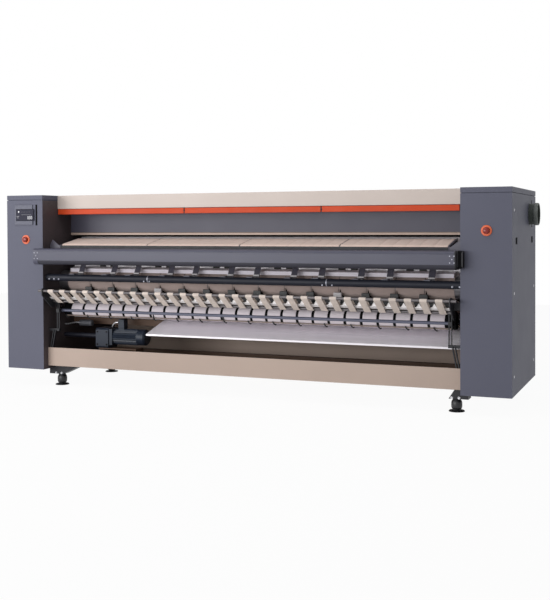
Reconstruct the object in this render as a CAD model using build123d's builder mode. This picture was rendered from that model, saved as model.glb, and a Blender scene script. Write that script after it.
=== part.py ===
from build123d import *
import os
from collections import namedtuple
from math import asin, atan2, ceil, cos, degrees, hypot, radians, sin

os.makedirs("parts", exist_ok=True)

# A flatwork ironer. Damp linen goes over the feed table, between a heated cylinder and a set of
# endless ironing belts, nearly once round the cylinder, and comes off at the front over the press
# roller, on to sloping tapes that carry it back to an exit roller and a stainless slide.
#
# Millimetres. +X is the operator's right along the cylinder, +Y from the front to the back, +Z up
# from the floor. Depths are measured back from the cabinets' front plane, heights up from the
# floor, and places along the machine from its middle, half way between the two cabinets.

# ---- Driving dimensions: the machine ----
MACHINE_WIDTH = 4000.0  # over both cabinets
MACHINE_HEIGHT = 1521.0
CABINET_WIDTH = 340.0
CABINET_DEPTH = 1080.0
CABINET_BOTTOM = 137.0  # clear height under the cabinets
HALF_WIDTH = MACHINE_WIDTH / 2
BAY = HALF_WIDTH - CABINET_WIDTH  # half the clear width between the cabinets
CAP_HEIGHT = 36.0
CAP_SEAM = 4.0  # shadow gap between a cabinet and its cap
SEAM_INSET = 6.0
SHEET = 3.0  # casing sheet
PLATE = 10.0  # structural side plates
NOSE_PROJECTION = 97.0  # nose bar in front of the cabinets
DUCT_PROJECTION = 65.0  # exhaust duct outside the right cabinet
SEAT = 0.05  # radial clearance of every running fit
CLEAR = 0.3  # least gap between a belt and what it passes

# ---- Cylinder ----
CYLINDER_RADIUS = 250.0
CYLINDER_WALL = 10.0
CYLINDER_END_GAP = 60.0  # from a cylinder's end to a side plate
CYLINDER_LENGTH = 2 * (BAY - CYLINDER_END_GAP)
CYLINDER_DEPTH = 600.0
CYLINDER_HEIGHT = 976.0
HEAD_THICKNESS = 15.0
HEAD_RECESS = 10.0
JOURNAL_RADIUS = 45.0
JOURNAL_BORE = 30.0
BEARING_SIZE = 150.0
BEARING_FLANGE = 14.0
BEARING_BOSS = 26.0
BEARING_WALL = 15.0

# ---- Heating elements, fixed inside the turning cylinder ----
CARRIER_RADIUS = 28.0
ELEMENT_COUNT = 6
ELEMENT_CIRCLE = 180.0
ELEMENT_WIDTH = 40.0
ELEMENT_THICKNESS = 10.0
ELEMENT_END_GAP = 100.0
ELEMENT_LENGTH = CYLINDER_LENGTH - 2 * ELEMENT_END_GAP
SPIDER_THICKNESS = 6.0

# ---- Ironing belts and their rollers ----
IRONING_BELTS = 15
IRONING_END_GAP = 85.0  # from the outermost belt's strip to a side plate
IRONING_PITCH = 2 * (BAY - IRONING_END_GAP) / IRONING_BELTS
IRONING_GAP = 4.0
IRONING_WIDTH = IRONING_PITCH - IRONING_GAP
IRONING_THICKNESS = 3.0
NIP_SLACK = 0.4
FEED_NIP_ANGLE = 113.5  # round the cylinder from straight back, where the belts first meet it
EXIT_NIP_ANGLE = 205.2  # where they leave it
TOP_ROLLER_RADIUS = 60.0
PRESS_ROLLER_RADIUS = 80.0
REAR_ROLLER_RADIUS = 45.0
REAR_ROLLER_DEPTH = CYLINDER_DEPTH + 325.0
REAR_ROLLER_HEIGHT = 650.0
TENSION_ROLLER_DEPTH = CYLINDER_DEPTH + 345.0
TENSION_ROLLER_HEIGHT = MACHINE_HEIGHT - 221.0
ROLLER_END_GAP = 70.0  # from a roller's end to a side plate
ROLLER_LENGTH = 2 * (BAY - ROLLER_END_GAP)
ROLLER_JOURNAL = 15.0
BELT_GUIDE_WIDTH = 70.0
BELT_GUIDE_HEIGHT = 26.0
BELT_GUIDE_DEPTH = 20.0
GUIDE_RAIL_SIZE = 25.0
GUIDE_RAIL_DEPTH = CYLINDER_DEPTH - 376.0
GUIDE_RAIL_BOTTOM = 706.0

# ---- Feed table ----
TABLE_SLOPE = 10.6  # degrees, rising to the back
TABLE_SIDE_GAP = 104.0  # from the feed belts to a side plate
TABLE_HALF_WIDTH = BAY - TABLE_SIDE_GAP
FEED_ROLLER_RADIUS = 25.0
FEED_ROLLER_DEPTH = CYLINDER_DEPTH - 468.0
FEED_ROLLER_HEIGHT = CYLINDER_HEIGHT + 131.0
FEED_ROLLER_SPAN = 217.0
FEED_BELTS = 4
FEED_BELT_THICKNESS = 2.5
FEED_BELT_GAP = 4.0
TABLE_BED_MARGIN = 32.0
TABLE_BED_DROP = 16.0
TABLE_BRACKET = 8.0
TABLE_FRONT_DEPTH = FEED_ROLLER_DEPTH - 34.0
TABLE_FRONT_TOP = FEED_ROLLER_HEIGHT + 15.0
TABLE_FRONT_BOTTOM = TABLE_FRONT_TOP - 36.0
TABLE_FRONT_FLANGE = 28.0
TABLE_HOOK_HEIGHT = 45.0

# ---- Nose bar ----
NOSE_END_GAP = 11.0  # from a nose bar's end to a side plate
NOSE_HALF_WIDTH = BAY - NOSE_END_GAP
NOSE_TOP = 1100.0
NOSE_FACE_BOTTOM = 1008.0
NOSE_BOTTOM = 975.0
NOSE_BACK = TABLE_FRONT_DEPTH - 38.0
NOSE_SHEET = 4.0
NOSE_TOP_ROUND = 19.0
NOSE_BOTTOM_ROUND = 31.0
NOSE_GROOVE_HEIGHT = 1081.0
NOSE_GROOVE = 3.0
NOSE_GROOVE_DEPTH = 1.5
NOSE_HEM = 12.0
NOSE_PLATE = 8.0
NOSE_UNDERSIDE_SET = 2.0
NOSE_MOUNT_DEPTH = 8.0
NOSE_MOUNT_BOTTOM = 990.0
NOSE_MOUNT_TOP = 1080.0
NOSE_CAP_OUTER = BAY + 22.0  # left cap, past the nose bar's end and in front of the cabinet
NOSE_STOP_OUTER = BAY + 30.0  # right end block, the same
NOSE_STOP_FRONT = -62.0
NOSE_STOP_BACK = -8.0
NOSE_STOP_BOTTOM = 985.0
NOSE_STOP_ROUND = 16.0

# ---- Hood, heat shield, feed lip and finger guard ----
HOOD_DEPTH = 205.0
HOOD_FRONT_BOTTOM = MACHINE_HEIGHT - 107.0
HOOD_FLANGE = 20.0
SHIELD_DEPTH = CYLINDER_DEPTH - 207.0
SHIELD_BOTTOM = CYLINDER_HEIGHT + 246.0
LIP_TIP_DEPTH = SHIELD_DEPTH + 37.0
LIP_TIP_HEIGHT = SHIELD_BOTTOM - 19.0
LIP_OVERLAP = 24.0
GUARD_THICKNESS = 10.0
GUARD_BOTTOM = HOOD_FRONT_BOTTOM - 45.0
GUARD_ROD_RADIUS = 5.0
GUARD_EYE = 9.0  # half the block round the rod
GUARD_ROD_DEPTH = 222.0
GUARD_ROD_HEIGHT = HOOD_FRONT_BOTTOM - 12.0
GUARD_JOINT_LEFT = -506.0
GUARD_JOINT_RIGHT = 608.0
GUARD_JOINT_GAP = 10.0
GUARD_HANGER = 4.0
GUARD_LEFT_END = 5.0 - BAY
GUARD_RIGHT_END = BAY - 48.0
GUARD_CHAMFER = 2.5

# ---- Stripper ----
STRIPPER_TUBE_RADIUS = 27.0
STRIPPER_TUBE_DEPTH = CYLINDER_DEPTH - 540.0
STRIPPER_TUBE_HEIGHT = 868.0
STRIPPER_GROUPS = 6
STRIPPER_END_GAP = 130.0
STRIPPER_PITCH = 2 * (BAY - STRIPPER_END_GAP) / STRIPPER_GROUPS
ARM_OFFSET = 149.0  # of an arm from its group's middle
ARM_WIDTH = 47.0
ARM_THICKNESS = 5.0
ARM_SEAT = 1.0
ARM_FOOT_DEPTH = STRIPPER_TUBE_DEPTH - 16.0
ARM_KNEE_DEPTH = STRIPPER_TUBE_DEPTH + 123.0
ARM_TOP_DEPTH = ARM_KNEE_DEPTH + 63.0
ARM_TOP_HEIGHT = 1010.0
PAD_OFFSET = 48.0
PAD_WIDTH = 52.0
PAD_THICKNESS = 8.0
PAD_BOTTOM = 930.0
PAD_RAIL_WIDTH = 16.0
PAD_RAIL_BOTTOM = 1000.0
PAD_RAIL_TOP = 1030.0
PAD_RAIL_MARGIN = 36.0
PAD_CLEARANCE = 0.5

# ---- Exit: tapes, comb, roller and slide ----
TAPES = 30
TAPE_END_GAP = 73.0
TAPE_PITCH = 2 * (BAY - TAPE_END_GAP) / TAPES
TAPE_WIDTH = 50.0
TAPE_THICKNESS = 2.5
TAPE_ROD_RADIUS = 10.0
TAPE_FRONT_DEPTH = -73.0
TAPE_FRONT_HEIGHT = 768.0
TAPE_REAR_DEPTH = 60.0
TAPE_REAR_HEIGHT = 680.0
COMB_DEPTH = 20.0
COMB_BAR = 4.0
COMB_BAR_WIDTH = 30.0
COMB_SHEET = 3.0
COMB_TOOTH_BASE = 45.0
COMB_TOOTH_HEIGHT = 37.0
EXIT_ROLLER_RADIUS = 55.0
EXIT_ROLLER_DEPTH = 235.0
EXIT_ROLLER_HEIGHT = 603.0
EXIT_REAR_RADIUS = 45.0
EXIT_REAR_DEPTH = 500.0
EXIT_REAR_HEIGHT = 600.0
EXIT_BELTS = 25
EXIT_END_GAP = 135.0
EXIT_PITCH = 2 * (BAY - EXIT_END_GAP) / EXIT_BELTS
EXIT_GAP = 20.0
EXIT_WIDTH = EXIT_PITCH - EXIT_GAP
EXIT_THICKNESS = 3.0
CROSS_TUBE_RADIUS = 11.0
CROSS_TUBE_DEPTH = 120.0
CROSS_TUBE_HEIGHT = 603.0
END_PLATE_INNER = BAY - 56.0
END_PLATE = 8.0
END_PLATE_FRONT = -90.0
END_PLATE_BACK = 104.0
END_PLATE_TOP = 788.0
END_PLATE_BOTTOM = 634.0
END_MOUNT_FRONT = 30.0
END_MOUNT_BACK = 90.0
END_MOUNT_BOTTOM = 700.0
END_MOUNT_TOP = 750.0
POST_PLACE = BAY - 84.0  # middle of a pair of posts
POST_SPACING = 18.0
POST_WIDTH = 8.0
POST_DEPTH = 84.0
POST_BOTTOM = 450.0
POST_TOP = 693.0
CLAMP_LENGTH = 28.0
CLAMP_HEIGHT = 20.0
CLAMP_DEPTH = 22.0
TUBE_CLAMP_HEIGHT = 30.0
STRUT_DEPTH = 20.0
STRUT_OFFSET = 25.0  # of the middle of a pair of struts from its posts, outwards
STRUT_SPLAY = 44.0  # of a strut's foot from its top, outwards
STRUT_BOTTOM = 230.0
SLIDE_LEFT = -800.0
SLIDE_FRONT_DEPTH = 122.0
SLIDE_FRONT_HEIGHT = 441.0
SLIDE_BACK_DEPTH = 480.0
SLIDE_BACK_HEIGHT = 540.0
SLIDE_LIP = 13.0
SLIDE_BEAM_FRONT = 425.0
SLIDE_BEAM_DEPTH = 30.0
SLIDE_BEAM_BOTTOM = 470.0
SLIDE_ARM_FRONT = 180.0
SLIDE_ARM_TIP = 12.0
SLIDE_ARM_THICKNESS = 6.0
SLIDE_ARM_PITCH = 740.0
SLIDE_ARMS = 4

# ---- Base and feet ----
BASE_FRONT_DEPTH = 61.0
BASE_BACK_DEPTH = 1060.0
BASE_BOTTOM = 163.0
BASE_FRONT_TOP = 308.0
BASE_BACK_TOP = 500.0
BASE_HEM = 12.0
RAIL_WIDTH = 40.0
RAIL_HEIGHT = 50.0
RAIL_WALL = 4.0
FOOT_PLACE = BAY - 59.0
FOOT_FRONT_DEPTH = 168.0
FOOT_REAR_DEPTH = 911.0
PAD_RADIUS = 55.0
PAD_HEIGHT = 10.0
BARREL_RADIUS = 32.0
BRACKET_BOTTOM = 90.0
BRACKET_OUTER = BAY + 30.0
LEFT_BRACKET_HEEL = BAY - 94.0
LEFT_BRACKET_TOE = BAY - 260.0
RIGHT_BRACKET_HEEL = BAY - 106.0
RIGHT_BRACKET_TOE = BAY - 60.0
BRACKET_DEPTH = 90.0
BRACKET_WALL = 8.0
REAR_COVERS = 3
COVER_FLANGE = 15.0
COVER_GAP = 2.0

# ---- Drive ----
SHAFT_DEPTH = 300.0
SHAFT_HEIGHT = 389.0
SHAFT_RADIUS = 18.0
CHAIN_PITCH = 31.75
DRIVE_TEETH = 13
CYLINDER_TEETH = 30
SPROCKET_THICKNESS = 10.0
SPROCKET_PLACE = 200.0 - HALF_WIDTH
GEARBOX_LEFT = 339.0 - BAY
GEARBOX_LENGTH = 115.0
GEARBOX_DEPTH = 150.0
GEARBOX_BOTTOM = 300.0
GEARBOX_TOP = 459.0
GEARBOX_CHAMFER = 14.0
MOTOR_FLANGE = 30.0
MOTOR_FLANGE_HALF = 64.0
MOTOR_RADIUS = 64.0
MOTOR_FIN = 6.0
MOTOR_FINS = 24
MOTOR_LENGTH = 216.0
FAN_COVER_LENGTH = 73.0
TERMINAL_LEFT = GEARBOX_LEFT + 183.0
TERMINAL_LENGTH = 52.0
TERMINAL_DEPTH = 60.0
TERMINAL_TOP = 530.0
TERMINAL_PAD = 50.0
TERMINAL_PAD_HEIGHT = 4.0
PEDESTAL_MARGIN = 20.0
PEDESTAL_LENGTH = 340.0
PEDESTAL_DEPTH = 120.0
PEDESTAL_WALL = 8.0
SHAFT_SOCKET = 50.0
GEARBOX_BOSS = 20.0
GEARBOX_BOSS_HALF = 38.0
LINK_HEIGHT = 16.0
LINK_THICKNESS = 2.5
LINK_OFFSET = 7.5

# ---- Controls and duct ----
PANEL_LEFT = 78.0 - HALF_WIDTH
PANEL_WIDTH = 172.0
PANEL_TOP = MACHINE_HEIGHT - 75.0
PANEL_BOTTOM = PANEL_TOP - 161.0
PANEL_THICKNESS = 8.0
SCREEN_LEFT_MARGIN = 18.0
SCREEN_RIGHT_MARGIN = 4.0
SCREEN_TOP = PANEL_TOP - 38.0
SCREEN_BOTTOM = SCREEN_TOP - 88.0
SCREEN_PROUD = 1.5
SLOT_PLACE = PANEL_LEFT + PANEL_WIDTH + 32.0
SLOT_WIDTH = 9.0
STOP_LEFT_PLACE = 182.0 - HALF_WIDTH
STOP_RIGHT_PLACE = HALF_WIDTH - 166.0
STOP_LEFT_HEIGHT = PANEL_BOTTOM - 116.0
STOP_RIGHT_HEIGHT = MACHINE_HEIGHT - 287.0
STOP_COLLAR_RADIUS = 30.0
STOP_COLLAR_THICKNESS = 6.0
STOP_STEM = 20.0  # square plunger
STOP_CAP_RADIUS = 20.0
STOP_CAP_THICKNESS = 16.0
STOP_TRAVEL = 4.0
DUCT_RADIUS = 75.0
DUCT_WALL = 2.0
DUCT_DEPTH = 782.0
DUCT_HEIGHT = MACHINE_HEIGHT - 174.0
HAND_SLOT_WIDTH = 32.0
HAND_SLOT_HEIGHT = 40.0
HAND_SLOT_MIDDLE = 1163.0
HAND_SLOT_FRONT = 175.0
HAND_SLOT_BACK = 892.0

# ---- Worked-out places ----
X_MID = -DUCT_PROJECTION / 2
Y_FRONT = (NOSE_PROJECTION - CABINET_DEPTH) / 2
CABINET_TOP = MACHINE_HEIGHT - CAP_HEIGHT - CAP_SEAM
PLATE_OUTER = BAY + PLATE
HOOD_UNDERSIDE = MACHINE_HEIGHT - SHEET
SIDES = (-1, 1)


def section(place):
    """Plane across the machine at a place along it: its x is the depth and its y the height."""
    return Plane(origin=(X_MID + place, Y_FRONT, 0), x_dir=(0, 1, 0), z_dir=(1, 0, 0))


def facing(depth):
    """Upright plane at a depth, seen from the front: its x is the place and its y the height."""
    return Plane(origin=(X_MID, Y_FRONT + depth, 0), x_dir=(1, 0, 0), z_dir=(0, -1, 0))


def level(height):
    """Level plane at a height: its x is the place and its y the depth."""
    return Plane(origin=(X_MID, Y_FRONT, height))


def bar(points, left, right, mode=Mode.ADD):
    """Bar along the machine with the outline through these points of depth and height."""
    with BuildSketch(section(left)) as outline:
        with BuildLine():
            Polyline(*points, close=True)
        make_face()
    extrude(outline.sketch, amount=right - left, mode=mode)


def box(left, right, front, back, bottom, top, mode=Mode.ADD):
    """Box between six limits."""
    corners = [(front, bottom), (back, bottom), (back, top), (front, top)]
    bar(corners, left, right, mode)


def round_bar(centre, radius, left, right, mode=Mode.ADD):
    """Round bar along the machine about a centre of depth and height."""
    with BuildSketch(section(left)) as disc:
        with Locations(centre):
            Circle(radius)
    extrude(disc.sketch, amount=right - left, mode=mode)


def folded(path, thickness):
    """Outline of a sheet folded along a path, with its thickness on the path's left."""
    runs = [(Vector(*b) - Vector(*a)).normalized() for a, b in zip(path, path[1:])]
    normals = [Vector(-run.Y, run.X) for run in runs]
    mitres = [normals[0]]
    for one, other in zip(normals, normals[1:]):
        mitres.append((one + other) / (1 + one.dot(other)))
    mitres.append(normals[-1])
    inner = [Vector(*point) + mitre * thickness for point, mitre in zip(path, mitres)]
    return list(path) + [(point.X, point.Y) for point in reversed(inner)]


def span(side, inner, outer):
    """Limits, left to right, of a stretch between two places, on one side of the machine."""
    return sorted((side * inner, side * outer))


def around(centre, distance, angle):
    """Point at a distance from a centre, at an angle in degrees from straight back, upwards."""
    turn = radians(angle)
    return (centre[0] + distance * cos(turn), centre[1] + distance * sin(turn))


def finish(piece, name):
    """Label a finished piece and write it as its own file."""
    piece.part.label = name
    export_step(piece.part, f"parts/{name}.step")


# ---- Belts ----
# A belt is a closed loop round its pulleys, followed anticlockwise as seen from the right. It has
# the pulley on its left (side 1), or on its right where it is bent the other way (side -1). On a
# pulley it lies in flats that each turn it by no more than the pulley's flat angle, and that stand
# clear of the pulley at their middles.
Pulley = namedtuple("Pulley", "centre radius side flat_angle")
FINE_FLAT = 34.0
FLAT = 47.0
COARSE_FLAT = 61.0


def run_angle(start, end, thickness):
    """Direction in degrees of the straight run from one pulley to the next."""
    middle = CLEAR + thickness / 2
    rise = end.centre[1] - start.centre[1]
    reach = end.centre[0] - start.centre[0]
    change = start.side * (start.radius + middle) - end.side * (end.radius + middle)
    return degrees(atan2(rise, reach) + asin(change / hypot(reach, rise)))


def belt_face(pulleys, thickness, depth):
    """Corners of a belt's face that lies at a depth from its inside, round the loop."""
    corners = []
    before = pulleys[-1:] + pulleys[:-1]
    after = pulleys[1:] + pulleys[:1]
    for last, pulley, following in zip(before, pulleys, after):
        arrive = run_angle(last, pulley, thickness) - 90 * pulley.side
        leave = run_angle(pulley, following, thickness) - 90 * pulley.side
        wrap = (leave - arrive) * pulley.side % 360
        flats = ceil(wrap / pulley.flat_angle)
        step = wrap / flats
        lift = depth if pulley.side > 0 else thickness - depth
        distance = (pulley.radius + CLEAR + lift) / cos(radians(step / 2))
        for flat in range(flats):
            angle = arrive + pulley.side * step * (flat + 0.5)
            corners.append(around(pulley.centre, distance, angle))
    return corners


def belt_loop(pulleys, thickness, width):
    """One belt, in the machine's middle plane."""
    with BuildPart() as loop:
        with BuildSketch(section(-width / 2)):
            with BuildLine():
                Polyline(*belt_face(pulleys, thickness, thickness), close=True)
            make_face()
            with BuildLine():
                Polyline(*belt_face(pulleys, thickness, 0), close=True)
            make_face(mode=Mode.SUBTRACT)
        extrude(amount=width)
    return loop.part


CYLINDER_CENTRE = (CYLINDER_DEPTH, CYLINDER_HEIGHT)
NIP_GAP = IRONING_THICKNESS + 2 * CLEAR + NIP_SLACK
TOP_CENTRE = around(CYLINDER_CENTRE, CYLINDER_RADIUS + TOP_ROLLER_RADIUS + NIP_GAP, FEED_NIP_ANGLE)
PRESS_CENTRE = around(
    CYLINDER_CENTRE, CYLINDER_RADIUS + PRESS_ROLLER_RADIUS + NIP_GAP, EXIT_NIP_ANGLE
)
REAR_CENTRE = (REAR_ROLLER_DEPTH, REAR_ROLLER_HEIGHT)
TENSION_CENTRE = (TENSION_ROLLER_DEPTH, TENSION_ROLLER_HEIGHT)
EXIT_CENTRE = (EXIT_ROLLER_DEPTH, EXIT_ROLLER_HEIGHT)
EXIT_REAR_CENTRE = (EXIT_REAR_DEPTH, EXIT_REAR_HEIGHT)
TAPE_FRONT_CENTRE = (TAPE_FRONT_DEPTH, TAPE_FRONT_HEIGHT)
TAPE_REAR_CENTRE = (TAPE_REAR_DEPTH, TAPE_REAR_HEIGHT)
STRIPPER_CENTRE = (STRIPPER_TUBE_DEPTH, STRIPPER_TUBE_HEIGHT)
FEED_FRONT_CENTRE = (FEED_ROLLER_DEPTH, FEED_ROLLER_HEIGHT)
FEED_REAR_CENTRE = around(FEED_FRONT_CENTRE, FEED_ROLLER_SPAN, TABLE_SLOPE)
CROSS_TUBE_CENTRE = (CROSS_TUBE_DEPTH, CROSS_TUBE_HEIGHT)
SHAFT_CENTRE = (SHAFT_DEPTH, SHAFT_HEIGHT)
DUCT_CENTRE = (DUCT_DEPTH, DUCT_HEIGHT)
GUARD_ROD_CENTRE = (GUARD_ROD_DEPTH, GUARD_ROD_HEIGHT)

with BuildPart() as ironing_belts:
    with GridLocations(IRONING_PITCH, 1, IRONING_BELTS, 1):
        add(
            belt_loop(
                [
                    Pulley(PRESS_CENTRE, PRESS_ROLLER_RADIUS, 1, FLAT),
                    Pulley(REAR_CENTRE, REAR_ROLLER_RADIUS, 1, COARSE_FLAT),
                    Pulley(TENSION_CENTRE, REAR_ROLLER_RADIUS, 1, COARSE_FLAT),
                    Pulley(TOP_CENTRE, TOP_ROLLER_RADIUS, 1, FLAT),
                    Pulley(CYLINDER_CENTRE, CYLINDER_RADIUS, -1, FINE_FLAT),
                ],
                IRONING_THICKNESS,
                IRONING_WIDTH,
            )
        )
finish(ironing_belts, "ironing_belts")

FEED_BELT_PITCH = (2 * TABLE_HALF_WIDTH + FEED_BELT_GAP) / FEED_BELTS
with BuildPart() as feed_belts:
    with GridLocations(FEED_BELT_PITCH, 1, FEED_BELTS, 1):
        add(
            belt_loop(
                [
                    Pulley(FEED_FRONT_CENTRE, FEED_ROLLER_RADIUS, 1, FLAT),
                    Pulley(FEED_REAR_CENTRE, FEED_ROLLER_RADIUS, 1, FLAT),
                ],
                FEED_BELT_THICKNESS,
                FEED_BELT_PITCH - FEED_BELT_GAP,
            )
        )
finish(feed_belts, "feed_belts")

with BuildPart() as exit_tapes:
    with GridLocations(TAPE_PITCH, 1, TAPES, 1):
        add(
            belt_loop(
                [
                    Pulley(TAPE_FRONT_CENTRE, TAPE_ROD_RADIUS, 1, COARSE_FLAT),
                    Pulley(TAPE_REAR_CENTRE, TAPE_ROD_RADIUS, 1, COARSE_FLAT),
                ],
                TAPE_THICKNESS,
                TAPE_WIDTH,
            )
        )
finish(exit_tapes, "exit_tapes")

with BuildPart() as exit_belts:
    with GridLocations(EXIT_PITCH, 1, EXIT_BELTS, 1):
        add(
            belt_loop(
                [
                    Pulley(EXIT_CENTRE, EXIT_ROLLER_RADIUS, 1, FLAT),
                    Pulley(EXIT_REAR_CENTRE, EXIT_REAR_RADIUS, 1, COARSE_FLAT),
                ],
                EXIT_THICKNESS,
                EXIT_WIDTH,
            )
        )
finish(exit_belts, "exit_belts")


# ---- Rollers ----
def stepped_roller(centre, radius):
    """Roller with a journal at each end, in the side plates."""
    with BuildPart() as piece:
        round_bar(centre, ROLLER_JOURNAL, -PLATE_OUTER, PLATE_OUTER)
        round_bar(centre, radius, -ROLLER_LENGTH / 2, ROLLER_LENGTH / 2)
    return piece


def plain_roller(centre, radius, reach):
    """Roller of one radius, on bearings inside its ends."""
    with BuildPart() as piece:
        round_bar(centre, radius, -reach, reach)
    return piece


TABLE_BRACKET_OUTER = TABLE_HALF_WIDTH + FEED_BELT_GAP / 2 + TABLE_BRACKET
TABLE_BRACKET_INNER = TABLE_BRACKET_OUTER - TABLE_BRACKET
exit_roller = stepped_roller(EXIT_CENTRE, EXIT_ROLLER_RADIUS)
finish(exit_roller, "exit_roller")
top_roller = plain_roller(TOP_CENTRE, TOP_ROLLER_RADIUS, BAY - SEAT)
finish(top_roller, "top_roller")
press_roller = plain_roller(PRESS_CENTRE, PRESS_ROLLER_RADIUS, BAY - SEAT)
finish(press_roller, "press_roller")
rear_lower_roller = plain_roller(REAR_CENTRE, REAR_ROLLER_RADIUS, BAY - SEAT)
finish(rear_lower_roller, "rear_lower_roller")
tension_roller = plain_roller(TENSION_CENTRE, REAR_ROLLER_RADIUS, BAY - SEAT)
finish(tension_roller, "tension_roller")
exit_rear_roller = plain_roller(EXIT_REAR_CENTRE, EXIT_REAR_RADIUS, BAY - SEAT)
finish(exit_rear_roller, "exit_rear_roller")
feed_front_roller = plain_roller(FEED_FRONT_CENTRE, FEED_ROLLER_RADIUS, TABLE_BRACKET_OUTER)
finish(feed_front_roller, "feed_front_roller")
feed_rear_roller = plain_roller(FEED_REAR_CENTRE, FEED_ROLLER_RADIUS, TABLE_BRACKET_INNER - SEAT)
finish(feed_rear_roller, "feed_rear_roller")
tape_front_rod = plain_roller(TAPE_FRONT_CENTRE, TAPE_ROD_RADIUS, NOSE_HALF_WIDTH)
finish(tape_front_rod, "tape_front_rod")
tape_rear_rod = plain_roller(TAPE_REAR_CENTRE, TAPE_ROD_RADIUS, END_PLATE_INNER - SEAT)
finish(tape_rear_rod, "tape_rear_rod")


# ---- Cylinder ----
CYLINDER_END = CYLINDER_LENGTH / 2
HEAD_OUTER = CYLINDER_END - HEAD_RECESS
HEAD_INNER = HEAD_OUTER - HEAD_THICKNESS
BEARING_OUTER = PLATE_OUTER + BEARING_FLANGE + BEARING_BOSS
JOURNAL_LEFT = SPROCKET_PLACE - 2 * SPROCKET_THICKNESS

with BuildPart() as cylinder:
    round_bar(CYLINDER_CENTRE, CYLINDER_RADIUS, -CYLINDER_END, CYLINDER_END)
    bore = CYLINDER_RADIUS - CYLINDER_WALL
    round_bar(CYLINDER_CENTRE, bore, -CYLINDER_END, CYLINDER_END, Mode.SUBTRACT)
finish(cylinder, "cylinder")

with BuildPart() as cylinder_heads:
    rim = CYLINDER_RADIUS - CYLINDER_WALL
    round_bar(CYLINDER_CENTRE, rim, -HEAD_OUTER, -HEAD_INNER)
    round_bar(CYLINDER_CENTRE, rim, HEAD_INNER, HEAD_OUTER)
    round_bar(CYLINDER_CENTRE, JOURNAL_RADIUS, JOURNAL_LEFT, -HEAD_INNER)
    round_bar(CYLINDER_CENTRE, JOURNAL_RADIUS, HEAD_INNER, BEARING_OUTER)
    round_bar(CYLINDER_CENTRE, JOURNAL_BORE, JOURNAL_LEFT, BEARING_OUTER, Mode.SUBTRACT)
finish(cylinder_heads, "cylinder_heads")

with BuildPart() as cylinder_bearings:
    half = BEARING_SIZE / 2
    for side in SIDES:
        box(
            *span(side, PLATE_OUTER, PLATE_OUTER + BEARING_FLANGE),
            CYLINDER_DEPTH - half,
            CYLINDER_DEPTH + half,
            CYLINDER_HEIGHT - half,
            CYLINDER_HEIGHT + half,
        )
        boss = JOURNAL_RADIUS + BEARING_WALL
        box(
            *span(side, PLATE_OUTER, BEARING_OUTER),
            CYLINDER_DEPTH - boss,
            CYLINDER_DEPTH + boss,
            CYLINDER_HEIGHT - boss,
            CYLINDER_HEIGHT + boss,
        )
    bore = JOURNAL_RADIUS + SEAT
    round_bar(CYLINDER_CENTRE, bore, -BEARING_OUTER, BEARING_OUTER, Mode.SUBTRACT)
finish(cylinder_bearings, "cylinder_bearings")

CARRIER_REACH = HALF_WIDTH - SHEET
with BuildPart() as heating_elements:
    round_bar(CYLINDER_CENTRE, CARRIER_RADIUS, -CARRIER_REACH, CARRIER_REACH)
    with BuildSketch(section(-ELEMENT_LENGTH / 2)) as strips:
        with Locations(CYLINDER_CENTRE):
            with PolarLocations(ELEMENT_CIRCLE, ELEMENT_COUNT):
                Rectangle(ELEMENT_THICKNESS, ELEMENT_WIDTH)
    extrude(strips.sketch, amount=ELEMENT_LENGTH)
    for end in SIDES:
        with BuildSketch(section(end * (ELEMENT_LENGTH / 2 - ELEMENT_CIRCLE))) as spider:
            with Locations(CYLINDER_CENTRE):
                with PolarLocations(ELEMENT_CIRCLE / 2, ELEMENT_COUNT):
                    Rectangle(ELEMENT_CIRCLE, ELEMENT_THICKNESS)
        extrude(spider.sketch, amount=SPIDER_THICKNESS)
finish(heating_elements, "heating_elements")


# ---- Side plates, cabinets and caps ----
with BuildPart() as side_plates:
    for side in SIDES:
        box(
            *span(side, BAY, PLATE_OUTER),
            SHEET,
            CABINET_DEPTH - SHEET,
            CABINET_BOTTOM + SHEET,
            CABINET_TOP - SHEET,
        )
    round_bar(EXIT_CENTRE, ROLLER_JOURNAL + SEAT, -PLATE_OUTER, PLATE_OUTER, Mode.SUBTRACT)
    half = JOURNAL_RADIUS + BEARING_WALL / 2
    box(
        -PLATE_OUTER,
        PLATE_OUTER,
        CYLINDER_DEPTH - half,
        CYLINDER_DEPTH + half,
        CYLINDER_HEIGHT - half,
        CYLINDER_HEIGHT + half,
        Mode.SUBTRACT,
    )
    round_bar(SHAFT_CENTRE, SHAFT_RADIUS + SEAT, -PLATE_OUTER, -BAY, Mode.SUBTRACT)
    round_bar(DUCT_CENTRE, DUCT_RADIUS, BAY, PLATE_OUTER, Mode.SUBTRACT)
finish(side_plates, "side_plates")


def cabinet(side, stop_place, stop_height):
    """Folded cabinet, open towards the side plate that stands in it."""
    with BuildPart() as shell:
        box(*span(side, BAY, HALF_WIDTH), 0, CABINET_DEPTH, CABINET_BOTTOM, CABINET_TOP)
        box(
            *span(side, BAY, HALF_WIDTH - SHEET),
            SHEET,
            CABINET_DEPTH - SHEET,
            CABINET_BOTTOM + SHEET,
            CABINET_TOP - SHEET,
            Mode.SUBTRACT,
        )
        with BuildSketch(facing(SHEET)) as stop_hole:
            with Locations((stop_place, stop_height)):
                Rectangle(STOP_STEM + 2 * SEAT, STOP_STEM + 2 * SEAT)
        extrude(stop_hole.sketch, amount=SHEET, mode=Mode.SUBTRACT)
        for depth in (HAND_SLOT_FRONT, HAND_SLOT_BACK):
            box(
                *span(side, HALF_WIDTH - SHEET, HALF_WIDTH),
                depth - HAND_SLOT_WIDTH / 2,
                depth + HAND_SLOT_WIDTH / 2,
                HAND_SLOT_MIDDLE - HAND_SLOT_HEIGHT / 2,
                HAND_SLOT_MIDDLE + HAND_SLOT_HEIGHT / 2,
                Mode.SUBTRACT,
            )
    return shell


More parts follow.
